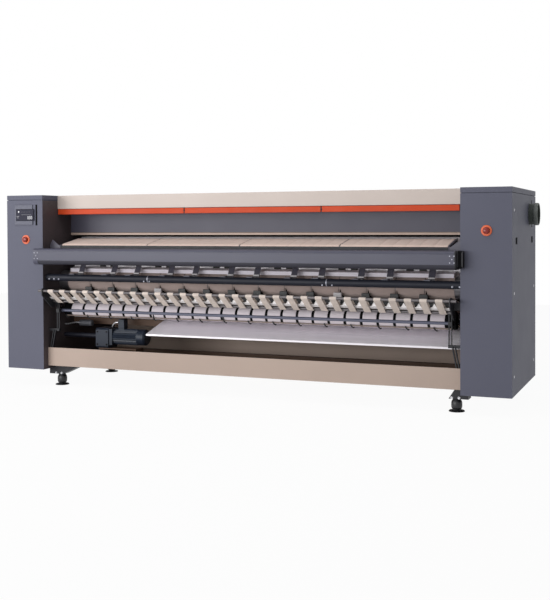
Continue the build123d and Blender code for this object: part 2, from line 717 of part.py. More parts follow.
left_cabinet = cabinet(-1, STOP_LEFT_PLACE, STOP_LEFT_HEIGHT)
with left_cabinet:
    slot_right = SLOT_PLACE + SLOT_WIDTH
    box(SLOT_PLACE, slot_right, 0, SHEET, PANEL_BOTTOM, PANEL_TOP, Mode.SUBTRACT)
finish(left_cabinet, "left_cabinet")
right_cabinet = cabinet(1, STOP_RIGHT_PLACE, STOP_RIGHT_HEIGHT)
with right_cabinet:
    round_bar(DUCT_CENTRE, DUCT_RADIUS, HALF_WIDTH - SHEET, HALF_WIDTH, Mode.SUBTRACT)
finish(right_cabinet, "right_cabinet")

CAP_BOTTOM = MACHINE_HEIGHT - CAP_HEIGHT
with BuildPart() as cabinet_caps:
    for side in SIDES:
        box(*span(side, BAY, HALF_WIDTH), 0, CABINET_DEPTH, CAP_BOTTOM, MACHINE_HEIGHT)
        box(
            *span(side, BAY + SEAM_INSET, HALF_WIDTH - SEAM_INSET),
            SEAM_INSET,
            CABINET_DEPTH - SEAM_INSET,
            CABINET_TOP,
            CAP_BOTTOM,
        )
        wall = SEAM_INSET + SHEET
        box(
            *span(side, BAY + wall, HALF_WIDTH - wall),
            wall,
            CABINET_DEPTH - wall,
            CABINET_TOP,
            HOOD_UNDERSIDE,
            Mode.SUBTRACT,
        )
finish(cabinet_caps, "cabinet_caps")

# ---- Hood, heat shield and feed lip ----
with BuildPart() as hood:
    box(-BAY, BAY, HOOD_DEPTH, CABINET_DEPTH, HOOD_UNDERSIDE, MACHINE_HEIGHT)
    fascia = [
        (HOOD_DEPTH + HOOD_FLANGE, HOOD_UNDERSIDE),
        (HOOD_DEPTH, HOOD_UNDERSIDE),
        (HOOD_DEPTH, HOOD_FRONT_BOTTOM),
        (HOOD_DEPTH + HOOD_FLANGE, HOOD_FRONT_BOTTOM),
    ]
    bar(folded(fascia, SHEET), -BAY, BAY)
finish(hood, "hood")

with BuildPart() as heat_shield:
    shield = [
        (SHIELD_DEPTH + HOOD_FLANGE, HOOD_UNDERSIDE),
        (SHIELD_DEPTH, HOOD_UNDERSIDE),
        (SHIELD_DEPTH, SHIELD_BOTTOM),
    ]
    bar(folded(shield, SHEET), -BAY, BAY)
finish(heat_shield, "heat_shield")

with BuildPart() as feed_lip:
    lip = [
        (SHIELD_DEPTH + SHEET, SHIELD_BOTTOM + LIP_OVERLAP),
        (SHIELD_DEPTH + SHEET, SHIELD_BOTTOM),
        (LIP_TIP_DEPTH, LIP_TIP_HEIGHT),
    ]
    bar(folded(lip, SHEET), -BAY, BAY)
finish(feed_lip, "feed_lip")

# ---- Finger guard: three flaps that hang on one rod and swing in when fingers reach it ----
GUARD_TOP = GUARD_ROD_HEIGHT + GUARD_EYE


def finger_guard(left, right):
    """One flap of the finger guard, with its eye round the rod."""
    with BuildPart() as flap:
        box(left, right, HOOD_DEPTH, HOOD_DEPTH + GUARD_THICKNESS, GUARD_BOTTOM, GUARD_TOP)
        chamfer(flap.edges().filter_by(Axis.X).group_by(Axis.Y)[0], GUARD_CHAMFER)
        eye_back = GUARD_ROD_DEPTH + GUARD_EYE
        box(left, right, HOOD_DEPTH + GUARD_CHAMFER, eye_back, GUARD_ROD_HEIGHT - GUARD_EYE, GUARD_TOP)
        round_bar(GUARD_ROD_CENTRE, GUARD_ROD_RADIUS + SEAT, left, right, Mode.SUBTRACT)
    return flap


GUARD_HALF_GAP = GUARD_JOINT_GAP / 2
finger_guard_left = finger_guard(GUARD_LEFT_END, GUARD_JOINT_LEFT - GUARD_HALF_GAP)
finish(finger_guard_left, "finger_guard_left")
finger_guard_middle = finger_guard(
    GUARD_JOINT_LEFT + GUARD_HALF_GAP, GUARD_JOINT_RIGHT - GUARD_HALF_GAP
)
finish(finger_guard_middle, "finger_guard_middle")
finger_guard_right = finger_guard(GUARD_JOINT_RIGHT + GUARD_HALF_GAP, GUARD_RIGHT_END)
finish(finger_guard_right, "finger_guard_right")

with BuildPart() as guard_rod:
    round_bar(GUARD_ROD_CENTRE, GUARD_ROD_RADIUS, -BAY, BAY)
with BuildPart() as guard_hinge:
    eye_back = GUARD_ROD_DEPTH + GUARD_EYE
    eye_bottom = GUARD_ROD_HEIGHT - GUARD_EYE
    for joint in (GUARD_JOINT_LEFT, GUARD_JOINT_RIGHT):
        left = joint - GUARD_HANGER / 2
        right = joint + GUARD_HANGER / 2
        box(left, right, HOOD_DEPTH, eye_back, eye_bottom, HOOD_FRONT_BOTTOM)
    box(
        GUARD_RIGHT_END + GUARD_HALF_GAP,
        BAY,
        HOOD_DEPTH,
        HOOD_DEPTH + GUARD_THICKNESS,
        GUARD_BOTTOM,
        HOOD_FRONT_BOTTOM,
    )
    hole = GUARD_ROD_RADIUS + SEAT
    box(
        -GUARD_RIGHT_END,
        GUARD_RIGHT_END,
        GUARD_ROD_DEPTH - hole,
        GUARD_ROD_DEPTH + hole,
        GUARD_ROD_HEIGHT - hole,
        GUARD_ROD_HEIGHT + hole,
        Mode.SUBTRACT,
    )
    add(guard_rod.part)
finish(guard_hinge, "guard_hinge")


# ---- Feed table ----
def on_table(along, rise):
    """Point of depth and height at a place along the table's slope, above the rollers' axes."""
    return around(around(FEED_FRONT_CENTRE, along, TABLE_SLOPE), rise, TABLE_SLOPE + 90)


with BuildPart() as feed_table:
    bed_top = FEED_ROLLER_RADIUS
    bed_end = FEED_ROLLER_SPAN - TABLE_BED_MARGIN
    bed = [
        on_table(bed_end, bed_top - TABLE_BED_DROP),
        on_table(bed_end, bed_top),
        on_table(TABLE_BED_MARGIN, bed_top),
        on_table(TABLE_BED_MARGIN, bed_top - TABLE_BED_DROP),
    ]
    bar(folded(bed, SHEET), -TABLE_BRACKET_INNER, TABLE_BRACKET_INNER)
finish(feed_table, "feed_table")

with BuildPart() as table_front:
    board = [
        (TABLE_FRONT_DEPTH, TABLE_FRONT_TOP),
        (TABLE_FRONT_DEPTH, TABLE_FRONT_BOTTOM),
        (TABLE_FRONT_DEPTH - TABLE_FRONT_FLANGE, TABLE_FRONT_BOTTOM),
    ]
    bar(folded(board, SHEET), -TABLE_BRACKET_INNER, TABLE_BRACKET_INNER)
finish(table_front, "table_front")

with BuildPart() as table_brackets:
    margin = FEED_ROLLER_RADIUS + TABLE_BRACKET
    cheek = [
        on_table(-margin, -margin),
        on_table(FEED_ROLLER_SPAN + margin, -margin),
        on_table(FEED_ROLLER_SPAN + margin, FEED_ROLLER_RADIUS),
        on_table(-margin, FEED_ROLLER_RADIUS),
    ]
    for side in SIDES:
        bar(cheek, *span(side, TABLE_BRACKET_INNER, TABLE_BRACKET_OUTER))
        with BuildSketch(facing(TABLE_FRONT_DEPTH + TABLE_BRACKET)) as gusset:
            with BuildLine():
                Polyline(
                    (side * TABLE_BRACKET_OUTER, TABLE_FRONT_BOTTOM),
                    (side * BAY, TABLE_FRONT_BOTTOM),
                    (side * BAY, TABLE_FRONT_TOP),
                    (side * (BAY - TABLE_HOOK_HEIGHT / 2), TABLE_FRONT_TOP + TABLE_HOOK_HEIGHT),
                    (side * (TABLE_BRACKET_OUTER + TABLE_BRACKET), TABLE_FRONT_TOP),
                    (side * TABLE_BRACKET_OUTER, TABLE_FRONT_TOP),
                    close=True,
                )
            make_face()
        extrude(gusset.sketch, amount=TABLE_BRACKET)
    bore = FEED_ROLLER_RADIUS + SEAT
    reach = TABLE_BRACKET_OUTER
    round_bar(FEED_FRONT_CENTRE, bore, -reach, reach, Mode.SUBTRACT)
finish(table_brackets, "table_brackets")


# ---- Nose bar ----
def round_off(piece, corner, radius):
    """Round the edge along the machine that lies at a corner of depth and height."""
    place = Vector(X_MID, Y_FRONT + corner[0], corner[1])
    fillet(piece.edges().filter_by(Axis.X).sort_by_distance(place)[0], radius)


NOSE_INNER = NOSE_HALF_WIDTH - NOSE_PLATE
with BuildPart() as nose_bar:
    face = [
        (NOSE_BACK, NOSE_TOP),
        (-NOSE_PROJECTION, NOSE_TOP),
        (-NOSE_PROJECTION, NOSE_FACE_BOTTOM),
        (-NOSE_PROJECTION + NOSE_HEM, NOSE_FACE_BOTTOM),
    ]
    bar(folded(face, NOSE_SHEET), -NOSE_INNER, NOSE_INNER)
    inside = (-NOSE_PROJECTION + NOSE_SHEET, NOSE_TOP - NOSE_SHEET)
    round_off(nose_bar, inside, NOSE_TOP_ROUND - NOSE_SHEET)
    round_off(nose_bar, (-NOSE_PROJECTION, NOSE_TOP), NOSE_TOP_ROUND)
    box(
        -NOSE_INNER,
        NOSE_INNER,
        -NOSE_PROJECTION,
        -NOSE_PROJECTION + NOSE_GROOVE_DEPTH,
        NOSE_GROOVE_HEIGHT - NOSE_GROOVE,
        NOSE_GROOVE_HEIGHT,
        Mode.SUBTRACT,
    )
finish(nose_bar, "nose_bar")

with BuildPart() as nose_underside:
    lower_front = -NOSE_PROJECTION + NOSE_UNDERSIDE_SET
    under = [
        (lower_front, NOSE_FACE_BOTTOM),
        (lower_front, NOSE_BOTTOM),
        (NOSE_BACK, NOSE_BOTTOM),
    ]
    bar(folded(under, SHEET), -NOSE_INNER, NOSE_INNER)
    inside = (lower_front + SHEET, NOSE_BOTTOM + SHEET)
    round_off(nose_underside, inside, NOSE_BOTTOM_ROUND - SHEET)
    round_off(nose_underside, (lower_front, NOSE_BOTTOM), NOSE_BOTTOM_ROUND)
finish(nose_underside, "nose_underside")

with BuildPart() as end_plates:
    outline = [
        (NOSE_BACK, NOSE_TOP),
        (-NOSE_PROJECTION, NOSE_TOP),
        (-NOSE_PROJECTION, NOSE_BOTTOM),
        (NOSE_BACK, NOSE_BOTTOM),
    ]
    corner_cut = [
        (END_PLATE_FRONT, END_PLATE_TOP),
        (END_PLATE_FRONT, (END_PLATE_TOP + TAPE_REAR_HEIGHT) / 2),
        (END_MOUNT_FRONT, END_PLATE_BOTTOM),
        (END_PLATE_BACK, END_PLATE_BOTTOM),
        (END_PLATE_BACK, END_MOUNT_TOP),
        (-END_MOUNT_FRONT, END_PLATE_TOP),
    ]
    for side in SIDES:
        bar(outline, *span(side, NOSE_INNER, NOSE_HALF_WIDTH))
        box(
            *span(side, NOSE_HALF_WIDTH, BAY),
            NOSE_MOUNT_DEPTH,
            NOSE_BACK,
            NOSE_MOUNT_BOTTOM,
            NOSE_MOUNT_TOP,
        )
        bar(corner_cut, *span(side, END_PLATE_INNER, END_PLATE_INNER + END_PLATE))
        box(
            *span(side, END_PLATE_INNER + END_PLATE, BAY),
            END_MOUNT_FRONT,
            END_MOUNT_BACK,
            END_MOUNT_BOTTOM,
            END_MOUNT_TOP,
        )
    box(-NOSE_CAP_OUTER, -NOSE_HALF_WIDTH, -NOSE_PROJECTION, -CLEAR, NOSE_BOTTOM, NOSE_TOP)
    for height, radius in ((NOSE_TOP, NOSE_TOP_ROUND), (NOSE_BOTTOM, NOSE_BOTTOM_ROUND)):
        along = end_plates.edges().filter_by(Axis.X)
        level_edges = along.filter_by_position(Axis.Z, height - SEAT, height + SEAT)
        fillet(level_edges.group_by(Axis.Y)[0], radius)
    stop_place = (NOSE_HALF_WIDTH + NOSE_STOP_OUTER) / 2
    stop_limits = (NOSE_HALF_WIDTH, NOSE_STOP_OUTER)
    box(*stop_limits, NOSE_STOP_FRONT, NOSE_STOP_BACK, NOSE_STOP_BOTTOM, NOSE_TOP)
    for height in (NOSE_STOP_BOTTOM, NOSE_TOP):
        corner = Vector(X_MID + stop_place, Y_FRONT + NOSE_STOP_FRONT, height)
        fillet(end_plates.edges().filter_by(Axis.X).sort_by_distance(corner)[0], NOSE_STOP_ROUND)
    bore = TAPE_ROD_RADIUS + SEAT
    reach = END_PLATE_INNER + END_PLATE
    round_bar(TAPE_FRONT_CENTRE, bore, -reach, reach, Mode.SUBTRACT)
finish(end_plates, "end_plates")

# ---- Stripper ----
PAD_BACK = CYLINDER_DEPTH - CYLINDER_RADIUS - PAD_CLEARANCE
PAD_FRONT = PAD_BACK - PAD_THICKNESS
ARM_BOTTOM = STRIPPER_TUBE_HEIGHT + STRIPPER_TUBE_RADIUS - ARM_SEAT

with BuildPart() as stripper_tube:
    round_bar(STRIPPER_CENTRE, STRIPPER_TUBE_RADIUS, SEAT - BAY, BAY - SEAT)
finish(stripper_tube, "stripper_tube")

with BuildPart() as stripper_arm:
    arm = [
        (ARM_FOOT_DEPTH, ARM_BOTTOM),
        (ARM_KNEE_DEPTH, ARM_BOTTOM),
        (ARM_TOP_DEPTH, ARM_TOP_HEIGHT),
        (PAD_FRONT - PAD_RAIL_WIDTH, ARM_TOP_HEIGHT),
    ]
    bar(folded(arm, ARM_THICKNESS), -ARM_WIDTH / 2, ARM_WIDTH / 2)
    half = ARM_WIDTH / 2
    round_bar(STRIPPER_CENTRE, STRIPPER_TUBE_RADIUS, -half, half, Mode.SUBTRACT)
with BuildPart() as stripper_arms:
    with GridLocations(STRIPPER_PITCH, 1, STRIPPER_GROUPS, 1):
        with Locations((-ARM_OFFSET, 0), (ARM_OFFSET, 0)):
            add(stripper_arm.part)
    reach = STRIPPER_PITCH * (STRIPPER_GROUPS - 1) / 2 + ARM_OFFSET + PAD_RAIL_MARGIN
    front = PAD_FRONT - PAD_RAIL_WIDTH
    box(-reach, reach, front, PAD_FRONT, PAD_RAIL_BOTTOM, PAD_RAIL_TOP)
finish(stripper_arms, "stripper_arms")

with BuildPart() as stripper_pad:
    half = PAD_WIDTH / 2
    box(-half, half, PAD_FRONT, PAD_BACK, PAD_BOTTOM, PAD_RAIL_TOP)
with BuildPart() as stripper_pads:
    with GridLocations(STRIPPER_PITCH, 1, STRIPPER_GROUPS, 1):
        with Locations((-PAD_OFFSET, 0), (PAD_OFFSET, 0)):
            add(stripper_pad.part)
finish(stripper_pads, "stripper_pads")

# ---- Belt guides under the press roller, one at each gap between the ironing belts ----
with BuildPart() as belt_guides:
    rail_back = GUIDE_RAIL_DEPTH + GUIDE_RAIL_SIZE
    rail_top = GUIDE_RAIL_BOTTOM + GUIDE_RAIL_SIZE
    box(-BAY, BAY, GUIDE_RAIL_DEPTH, rail_back, GUIDE_RAIL_BOTTOM, rail_top)
    box(
        -BAY,
        BAY,
        GUIDE_RAIL_DEPTH + SHEET,
        rail_back - SHEET,
        GUIDE_RAIL_BOTTOM + SHEET,
        rail_top - SHEET,
        Mode.SUBTRACT,
    )
    with BuildSketch(facing(GUIDE_RAIL_DEPTH + BELT_GUIDE_DEPTH)) as blocks:
        with Locations((0, rail_top + BELT_GUIDE_HEIGHT / 2)):
            with GridLocations(IRONING_PITCH, 1, IRONING_BELTS - 1, 1):
                Rectangle(BELT_GUIDE_WIDTH, BELT_GUIDE_HEIGHT)
    extrude(blocks.sketch, amount=BELT_GUIDE_DEPTH)
finish(belt_guides, "belt_guides")

# ---- Exit comb: a bar inside the tapes' loops with an upright tooth in each gap ----
TAPE_RISE = TAPE_REAR_HEIGHT - TAPE_FRONT_HEIGHT
TAPE_RUN = TAPE_REAR_DEPTH - TAPE_FRONT_DEPTH
TAPE_ANGLE = degrees(atan2(TAPE_RISE, TAPE_RUN))
COMB_ALONG = (COMB_DEPTH - TAPE_FRONT_DEPTH) / cos(radians(TAPE_ANGLE))


def on_tape(along, rise):
    """Point of depth and height at a place along the tapes, above their rods' axes."""
    return around(around(TAPE_FRONT_CENTRE, along, TAPE_ANGLE), rise, TAPE_ANGLE + 90)


with BuildPart() as exit_comb:
    near = COMB_ALONG - COMB_BAR_WIDTH / 2
    far = COMB_ALONG + COMB_BAR_WIDTH / 2
    half = COMB_BAR / 2
    comb_bar = [on_tape(near, -half), on_tape(far, -half), on_tape(far, half), on_tape(near, half)]
    bar(comb_bar, -END_PLATE_INNER, END_PLATE_INNER)
    root = on_tape(COMB_ALONG, 0)
    with BuildSketch(facing(COMB_DEPTH + COMB_SHEET / 2)) as teeth:
        with Locations((0, root[1])):
            with GridLocations(TAPE_PITCH, 1, TAPES - 1, 1):
                Polygon(
                    (-COMB_TOOTH_BASE / 2, 0),
                    (COMB_TOOTH_BASE / 2, 0),
                    (0, COMB_TOOTH_HEIGHT),
                    align=None,
                )
    extrude(teeth.sketch, amount=COMB_SHEET)
finish(exit_comb, "exit_comb")

# ---- Supports of the exit: posts, clamps and struts at each end ----
CLAMP_INNER = POST_PLACE - CLAMP_LENGTH / 2
CLAMP_OUTER = POST_PLACE + CLAMP_LENGTH / 2
CLAMP_FRONT = POST_DEPTH - CLAMP_DEPTH / 2
CLAMP_BACK = POST_DEPTH + CLAMP_DEPTH / 2

with BuildPart() as cross_tube:
    round_bar(CROSS_TUBE_CENTRE, CROSS_TUBE_RADIUS, -CLAMP_INNER, CLAMP_INNER)
finish(cross_tube, "cross_tube")

with BuildPart() as exit_supports:
    for side in SIDES:
        knee = span(side, CLAMP_INNER, BAY)
        knee_bottom = POST_BOTTOM - CLAMP_HEIGHT / 2
        knee_top = POST_BOTTOM + CLAMP_HEIGHT / 2
        box(*knee, CLAMP_FRONT, CLAMP_BACK, knee_bottom, knee_top)
        for place in (POST_PLACE - POST_SPACING / 2, POST_PLACE + POST_SPACING / 2):
            post = span(side, place - POST_WIDTH / 2, place + POST_WIDTH / 2)
            front = POST_DEPTH - POST_WIDTH / 2
            box(*post, front, front + POST_WIDTH, POST_BOTTOM, POST_TOP)
        with BuildSketch(facing(BASE_FRONT_DEPTH + SHEET + STRUT_DEPTH)) as struts:
            for offset in (-POST_SPACING / 2, POST_SPACING / 2):
                place = POST_PLACE + STRUT_OFFSET + offset
                top = side * place
                foot = side * (place + STRUT_SPLAY)
                half = POST_WIDTH / 2
                with BuildLine():
                    Polyline(
                        (top - half, POST_BOTTOM),
                        (foot - half, STRUT_BOTTOM),
                        (foot + half, STRUT_BOTTOM),
                        (top + half, POST_BOTTOM),
                        close=True,
                    )
                make_face()
        extrude(struts.sketch, amount=STRUT_DEPTH)
        tube_back = CROSS_TUBE_DEPTH + CROSS_TUBE_RADIUS
        tube_clamp = span(side, CLAMP_INNER, CLAMP_OUTER)
        half = TUBE_CLAMP_HEIGHT / 2
        low, high = CROSS_TUBE_HEIGHT - half, CROSS_TUBE_HEIGHT + half
        box(*tube_clamp, CLAMP_FRONT, tube_back, low, high)
        top_clamp = span(side, CLAMP_INNER, END_PLATE_INNER)
        high = POST_TOP - CLAMP_HEIGHT / 2
        box(*top_clamp, CLAMP_FRONT, CLAMP_BACK, high - CLAMP_HEIGHT, high)
finish(exit_supports, "exit_supports")

# ---- Linen slide ----
SLIDE_SLOPE = (SLIDE_BACK_HEIGHT - SLIDE_FRONT_HEIGHT) / (SLIDE_BACK_DEPTH - SLIDE_FRONT_DEPTH)
SLIDE_DROP = SHEET * hypot(1, SLIDE_SLOPE)
with BuildPart() as linen_slide:
    slide = [
        (SLIDE_BACK_DEPTH, SLIDE_BACK_HEIGHT),
        (SLIDE_FRONT_DEPTH, SLIDE_FRONT_HEIGHT),
        (SLIDE_FRONT_DEPTH - SHEET, SLIDE_FRONT_HEIGHT - SLIDE_LIP),
    ]
    bar(folded(slide, SHEET), SLIDE_LEFT, BAY)
finish(linen_slide, "linen_slide")


def slide_underside(depth):
    """Height of the slide's underside at a depth."""
    return SLIDE_FRONT_HEIGHT + (depth - SLIDE_FRONT_DEPTH) * SLIDE_SLOPE - SLIDE_DROP


# ---- Base pan, base frame, feet and rear covers ----
PAN_FLOOR = BASE_BOTTOM + SHEET
with BuildPart() as base_pan:
    pan = [
        (BASE_FRONT_DEPTH, BASE_FRONT_TOP),
        (BASE_FRONT_DEPTH, BASE_BOTTOM),
        (BASE_BACK_DEPTH, BASE_BOTTOM),
        (BASE_BACK_DEPTH, BASE_BACK_TOP),
    ]
    bar(folded(pan, SHEET), -BAY, BAY)
    hem_back = BASE_FRONT_DEPTH + BASE_HEM
    hem_bottom = BASE_FRONT_TOP - SHEET
    box(-CLAMP_INNER, CLAMP_INNER, BASE_FRONT_DEPTH, hem_back, hem_bottom, BASE_FRONT_TOP)
finish(base_pan, "base_pan")

with BuildPart() as base_frame:
    for depth in (FOOT_FRONT_DEPTH, FOOT_REAR_DEPTH):
        for wall, mode in ((0, Mode.ADD), (RAIL_WALL, Mode.SUBTRACT)):
            box(
                -BAY,
                BAY,
                depth - RAIL_WIDTH / 2 + wall,
                depth + RAIL_WIDTH / 2 - wall,
                PAN_FLOOR + wall,
                PAN_FLOOR + RAIL_HEIGHT - wall,
                mode,
            )
    for wall, mode in ((0, Mode.ADD), (RAIL_WALL, Mode.SUBTRACT)):
        front = SLIDE_BEAM_FRONT + wall
        back = SLIDE_BEAM_FRONT + SLIDE_BEAM_DEPTH - wall
        beam = [
            (front, SLIDE_BEAM_BOTTOM + wall),
            (back, SLIDE_BEAM_BOTTOM + wall),
            (back, slide_underside(back) - wall),
            (front, slide_underside(front) - wall),
        ]
        bar(beam, -BAY, BAY, mode)
    arm = [
        (SLIDE_BEAM_FRONT, SLIDE_BEAM_BOTTOM),
        (SLIDE_BEAM_FRONT, slide_underside(SLIDE_BEAM_FRONT)),
        (SLIDE_ARM_FRONT, slide_underside(SLIDE_ARM_FRONT)),
        (SLIDE_ARM_FRONT, slide_underside(SLIDE_ARM_FRONT) - SLIDE_ARM_TIP),
    ]
    for number in range(SLIDE_ARMS):
        place = SLIDE_LEFT + number * SLIDE_ARM_PITCH
        bar(arm, place, place + SLIDE_ARM_THICKNESS)
    left = GEARBOX_LEFT + PEDESTAL_MARGIN
    right = left + PEDESTAL_LENGTH
    front = SHAFT_DEPTH - PEDESTAL_DEPTH / 2
    back = SHAFT_DEPTH + PEDESTAL_DEPTH / 2
    box(left, right, front, back, PAN_FLOOR, GEARBOX_BOTTOM)
    box(
        left + PEDESTAL_WALL,
        right - PEDESTAL_WALL,
        front,
        back,
        PAN_FLOOR,
        GEARBOX_BOTTOM - PEDESTAL_WALL,
        Mode.SUBTRACT,
    )
finish(base_frame, "base_frame")


def bracket_outline(side, wall):
    """Foot bracket seen from the front, its ends and bottom moved in by a wall."""
    heel = LEFT_BRACKET_HEEL if side < 0 else RIGHT_BRACKET_HEEL
    toe = LEFT_BRACKET_TOE if side < 0 else RIGHT_BRACKET_TOE
    return [
        (side * (BRACKET_OUTER - wall), BRACKET_BOTTOM + wall),
        (side * (BRACKET_OUTER - wall), CABINET_BOTTOM),
        (side * BAY, CABINET_BOTTOM),
        (side * BAY, BASE_BOTTOM),
        (side * (toe + 2 * wall), BASE_BOTTOM),
        (side * (heel + 2 * wall), BRACKET_BOTTOM + wall),
    ]


with BuildPart() as foot_brackets:
    for middle in (FOOT_FRONT_DEPTH, FOOT_REAR_DEPTH):
        for wall, mode in ((0, Mode.ADD), (BRACKET_WALL, Mode.SUBTRACT)):
            half = BRACKET_DEPTH / 2 - wall
            with BuildSketch(facing(middle + half)) as outline:
                for side in SIDES:
                    with BuildLine():
                        Polyline(*bracket_outline(side, wall), close=True)
                    make_face()
            extrude(outline.sketch, amount=2 * half, mode=mode)
finish(foot_brackets, "foot_brackets")

with BuildPart() as levelling_feet:
    places = [
        (side * FOOT_PLACE, depth) for side in SIDES for depth in (FOOT_FRONT_DEPTH, FOOT_REAR_DEPTH)
    ]
    with BuildSketch(level(0)):
        with Locations(*places):
            Circle(PAD_RADIUS)
    extrude(amount=PAD_HEIGHT)
    with BuildSketch(level(PAD_HEIGHT)):
        with Locations(*places):
            Circle(BARREL_RADIUS)
    extrude(amount=BRACKET_BOTTOM - PAD_HEIGHT)
finish(levelling_feet, "levelling_feet")

with BuildPart() as rear_covers:
    pitch = (2 * BAY + COVER_GAP) / REAR_COVERS
    for number in range(REAR_COVERS):
        left = -BAY + number * pitch
        right = left + pitch - COVER_GAP
        cover_front = CABINET_DEPTH - COVER_FLANGE
        box(left, right, cover_front, CABINET_DEPTH, BASE_BOTTOM, HOOD_UNDERSIDE)
        box(
            left + SHEET,
            right - SHEET,
            cover_front,
            CABINET_DEPTH - SHEET,
            BASE_BOTTOM + SHEET,
            HOOD_UNDERSIDE - SHEET,
            Mode.SUBTRACT,
        )
finish(rear_covers, "rear_covers")


# ---- Drive: gearmotor, shaft, sprockets and chain ----
def pitch_radius(teeth):
    """Radius of the circle on which a chain's pins lie on a sprocket."""
    return CHAIN_PITCH / (2 * sin(radians(180 / teeth)))


def sprocket(centre, teeth, bore_radius):
    """Sprocket with a flat-topped tooth between each two rollers of the chain."""
    root = pitch_radius(teeth) - LINK_HEIGHT / 2
    tip = pitch_radius(teeth) + LINK_HEIGHT / 3
    step = 360 / teeth
    outline = []
    for tooth in range(teeth):
        angle = tooth * step
        outline.append(around(centre, root, angle - step / 2))
        outline.append(around(centre, tip, angle - step / 8))
        outline.append(around(centre, tip, angle + step / 8))
    with BuildPart() as wheel:
        half = SPROCKET_THICKNESS / 2
        bar(outline, SPROCKET_PLACE - half, SPROCKET_PLACE + half)
        left, right = SPROCKET_PLACE - half, SPROCKET_PLACE + half
        round_bar(centre, bore_radius, left, right, Mode.SUBTRACT)
    return wheel


cylinder_sprocket = sprocket(CYLINDER_CENTRE, CYLINDER_TEETH, JOURNAL_RADIUS)
finish(cylinder_sprocket, "cylinder_sprocket")
drive_sprocket = sprocket(SHAFT_CENTRE, DRIVE_TEETH, SHAFT_RADIUS)
with drive_sprocket:
    left = SPROCKET_PLACE - SPROCKET_THICKNESS / 2
    round_bar(SHAFT_CENTRE, SHAFT_RADIUS, left, GEARBOX_LEFT + SHAFT_SOCKET - SHEET)
finish(drive_sprocket, "drive_sprocket")

with BuildPart() as drive_chain:
    links = belt_loop(
        [
            Pulley(
                SHAFT_CENTRE,
                pitch_radius(DRIVE_TEETH) - LINK_HEIGHT / 2,
                1,
                360 / DRIVE_TEETH,
            ),
            Pulley(
                CYLINDER_CENTRE,
                pitch_radius(CYLINDER_TEETH) - LINK_HEIGHT / 2,
                1,
                2 * 360 / CYLINDER_TEETH,
            ),
        ],
        LINK_HEIGHT,
        LINK_THICKNESS,
    )
    with Locations((SPROCKET_PLACE - LINK_OFFSET, 0), (SPROCKET_PLACE + LINK_OFFSET, 0)):
        add(links)
finish(drive_chain, "drive_chain")


def square(half, left, right):
    """Square block on the drive shaft's axis."""
    box(
        left,
        right,
        SHAFT_DEPTH - half,
        SHAFT_DEPTH + half,
        SHAFT_HEIGHT - half,
        SHAFT_HEIGHT + half,
    )


GEARBOX_RIGHT = GEARBOX_LEFT + GEARBOX_LENGTH
with BuildPart() as gearbox:
    front = SHAFT_DEPTH - GEARBOX_DEPTH / 2
    back = SHAFT_DEPTH + GEARBOX_DEPTH / 2
    box(GEARBOX_LEFT, GEARBOX_RIGHT, front, back, GEARBOX_BOTTOM, GEARBOX_TOP)
    chamfer(gearbox.edges().filter_by(Axis.X), GEARBOX_CHAMFER)
    boss_left = GEARBOX_LEFT - GEARBOX_BOSS
    square(GEARBOX_BOSS_HALF, boss_left, GEARBOX_LEFT)
    square(MOTOR_FLANGE_HALF, GEARBOX_RIGHT, GEARBOX_RIGHT + MOTOR_FLANGE)
    socket = GEARBOX_LEFT + SHAFT_SOCKET
    round_bar(SHAFT_CENTRE, SHAFT_RADIUS + SEAT, boss_left, socket, Mode.SUBTRACT)
finish(gearbox, "gearbox")

MOTOR_LEFT = GEARBOX_RIGHT + MOTOR_FLANGE
MOTOR_RIGHT = MOTOR_LEFT + MOTOR_LENGTH
TERMINAL_BOTTOM = SHAFT_HEIGHT + MOTOR_RADIUS + TERMINAL_PAD_HEIGHT
with BuildPart() as motor:
    fin_angle = 360 / MOTOR_FINS
    fins = []
    cover = []
    for fin in range(MOTOR_FINS):
        fins.append(around(SHAFT_CENTRE, MOTOR_RADIUS, fin * fin_angle))
        fins.append(around(SHAFT_CENTRE, MOTOR_RADIUS - MOTOR_FIN, (fin + 0.5) * fin_angle))
        cover.append(around(SHAFT_CENTRE, MOTOR_RADIUS, fin * fin_angle))
    bar(fins, MOTOR_LEFT, MOTOR_RIGHT)
    bar(cover, MOTOR_RIGHT, MOTOR_RIGHT + FAN_COVER_LENGTH)
    half = TERMINAL_PAD / 2
    terminal_right = TERMINAL_LEFT + TERMINAL_LENGTH
    front, back = SHAFT_DEPTH - half, SHAFT_DEPTH + half
    box(TERMINAL_LEFT, terminal_right, front, back, SHAFT_HEIGHT, TERMINAL_BOTTOM)
    chamfer(motor.edges().group_by(Axis.X)[-1], GEARBOX_CHAMFER)
finish(motor, "motor")

with BuildPart() as terminal_box:
    front = SHAFT_DEPTH - TERMINAL_DEPTH / 2
    back = SHAFT_DEPTH + TERMINAL_DEPTH / 2
    box(TERMINAL_LEFT, terminal_right, front, back, TERMINAL_BOTTOM, TERMINAL_TOP)
    chamfer(terminal_box.edges().group_by(Axis.Z)[-1], SHEET)
finish(terminal_box, "terminal_box")

# ---- Controls ----
with BuildPart() as control_plate:
    panel_right = PANEL_LEFT + PANEL_WIDTH
    box(PANEL_LEFT, panel_right, -PANEL_THICKNESS, 0, PANEL_BOTTOM, PANEL_TOP)
    chamfer(control_plate.faces().sort_by(Axis.Y)[0].edges(), SHEET)
finish(control_plate, "control_plate")

with BuildPart() as control_screen:
    left = PANEL_LEFT + SCREEN_LEFT_MARGIN
    right = panel_right - SCREEN_RIGHT_MARGIN
    front = -PANEL_THICKNESS - SCREEN_PROUD
    box(left, right, front, -PANEL_THICKNESS, SCREEN_BOTTOM, SCREEN_TOP)
finish(control_screen, "control_screen")

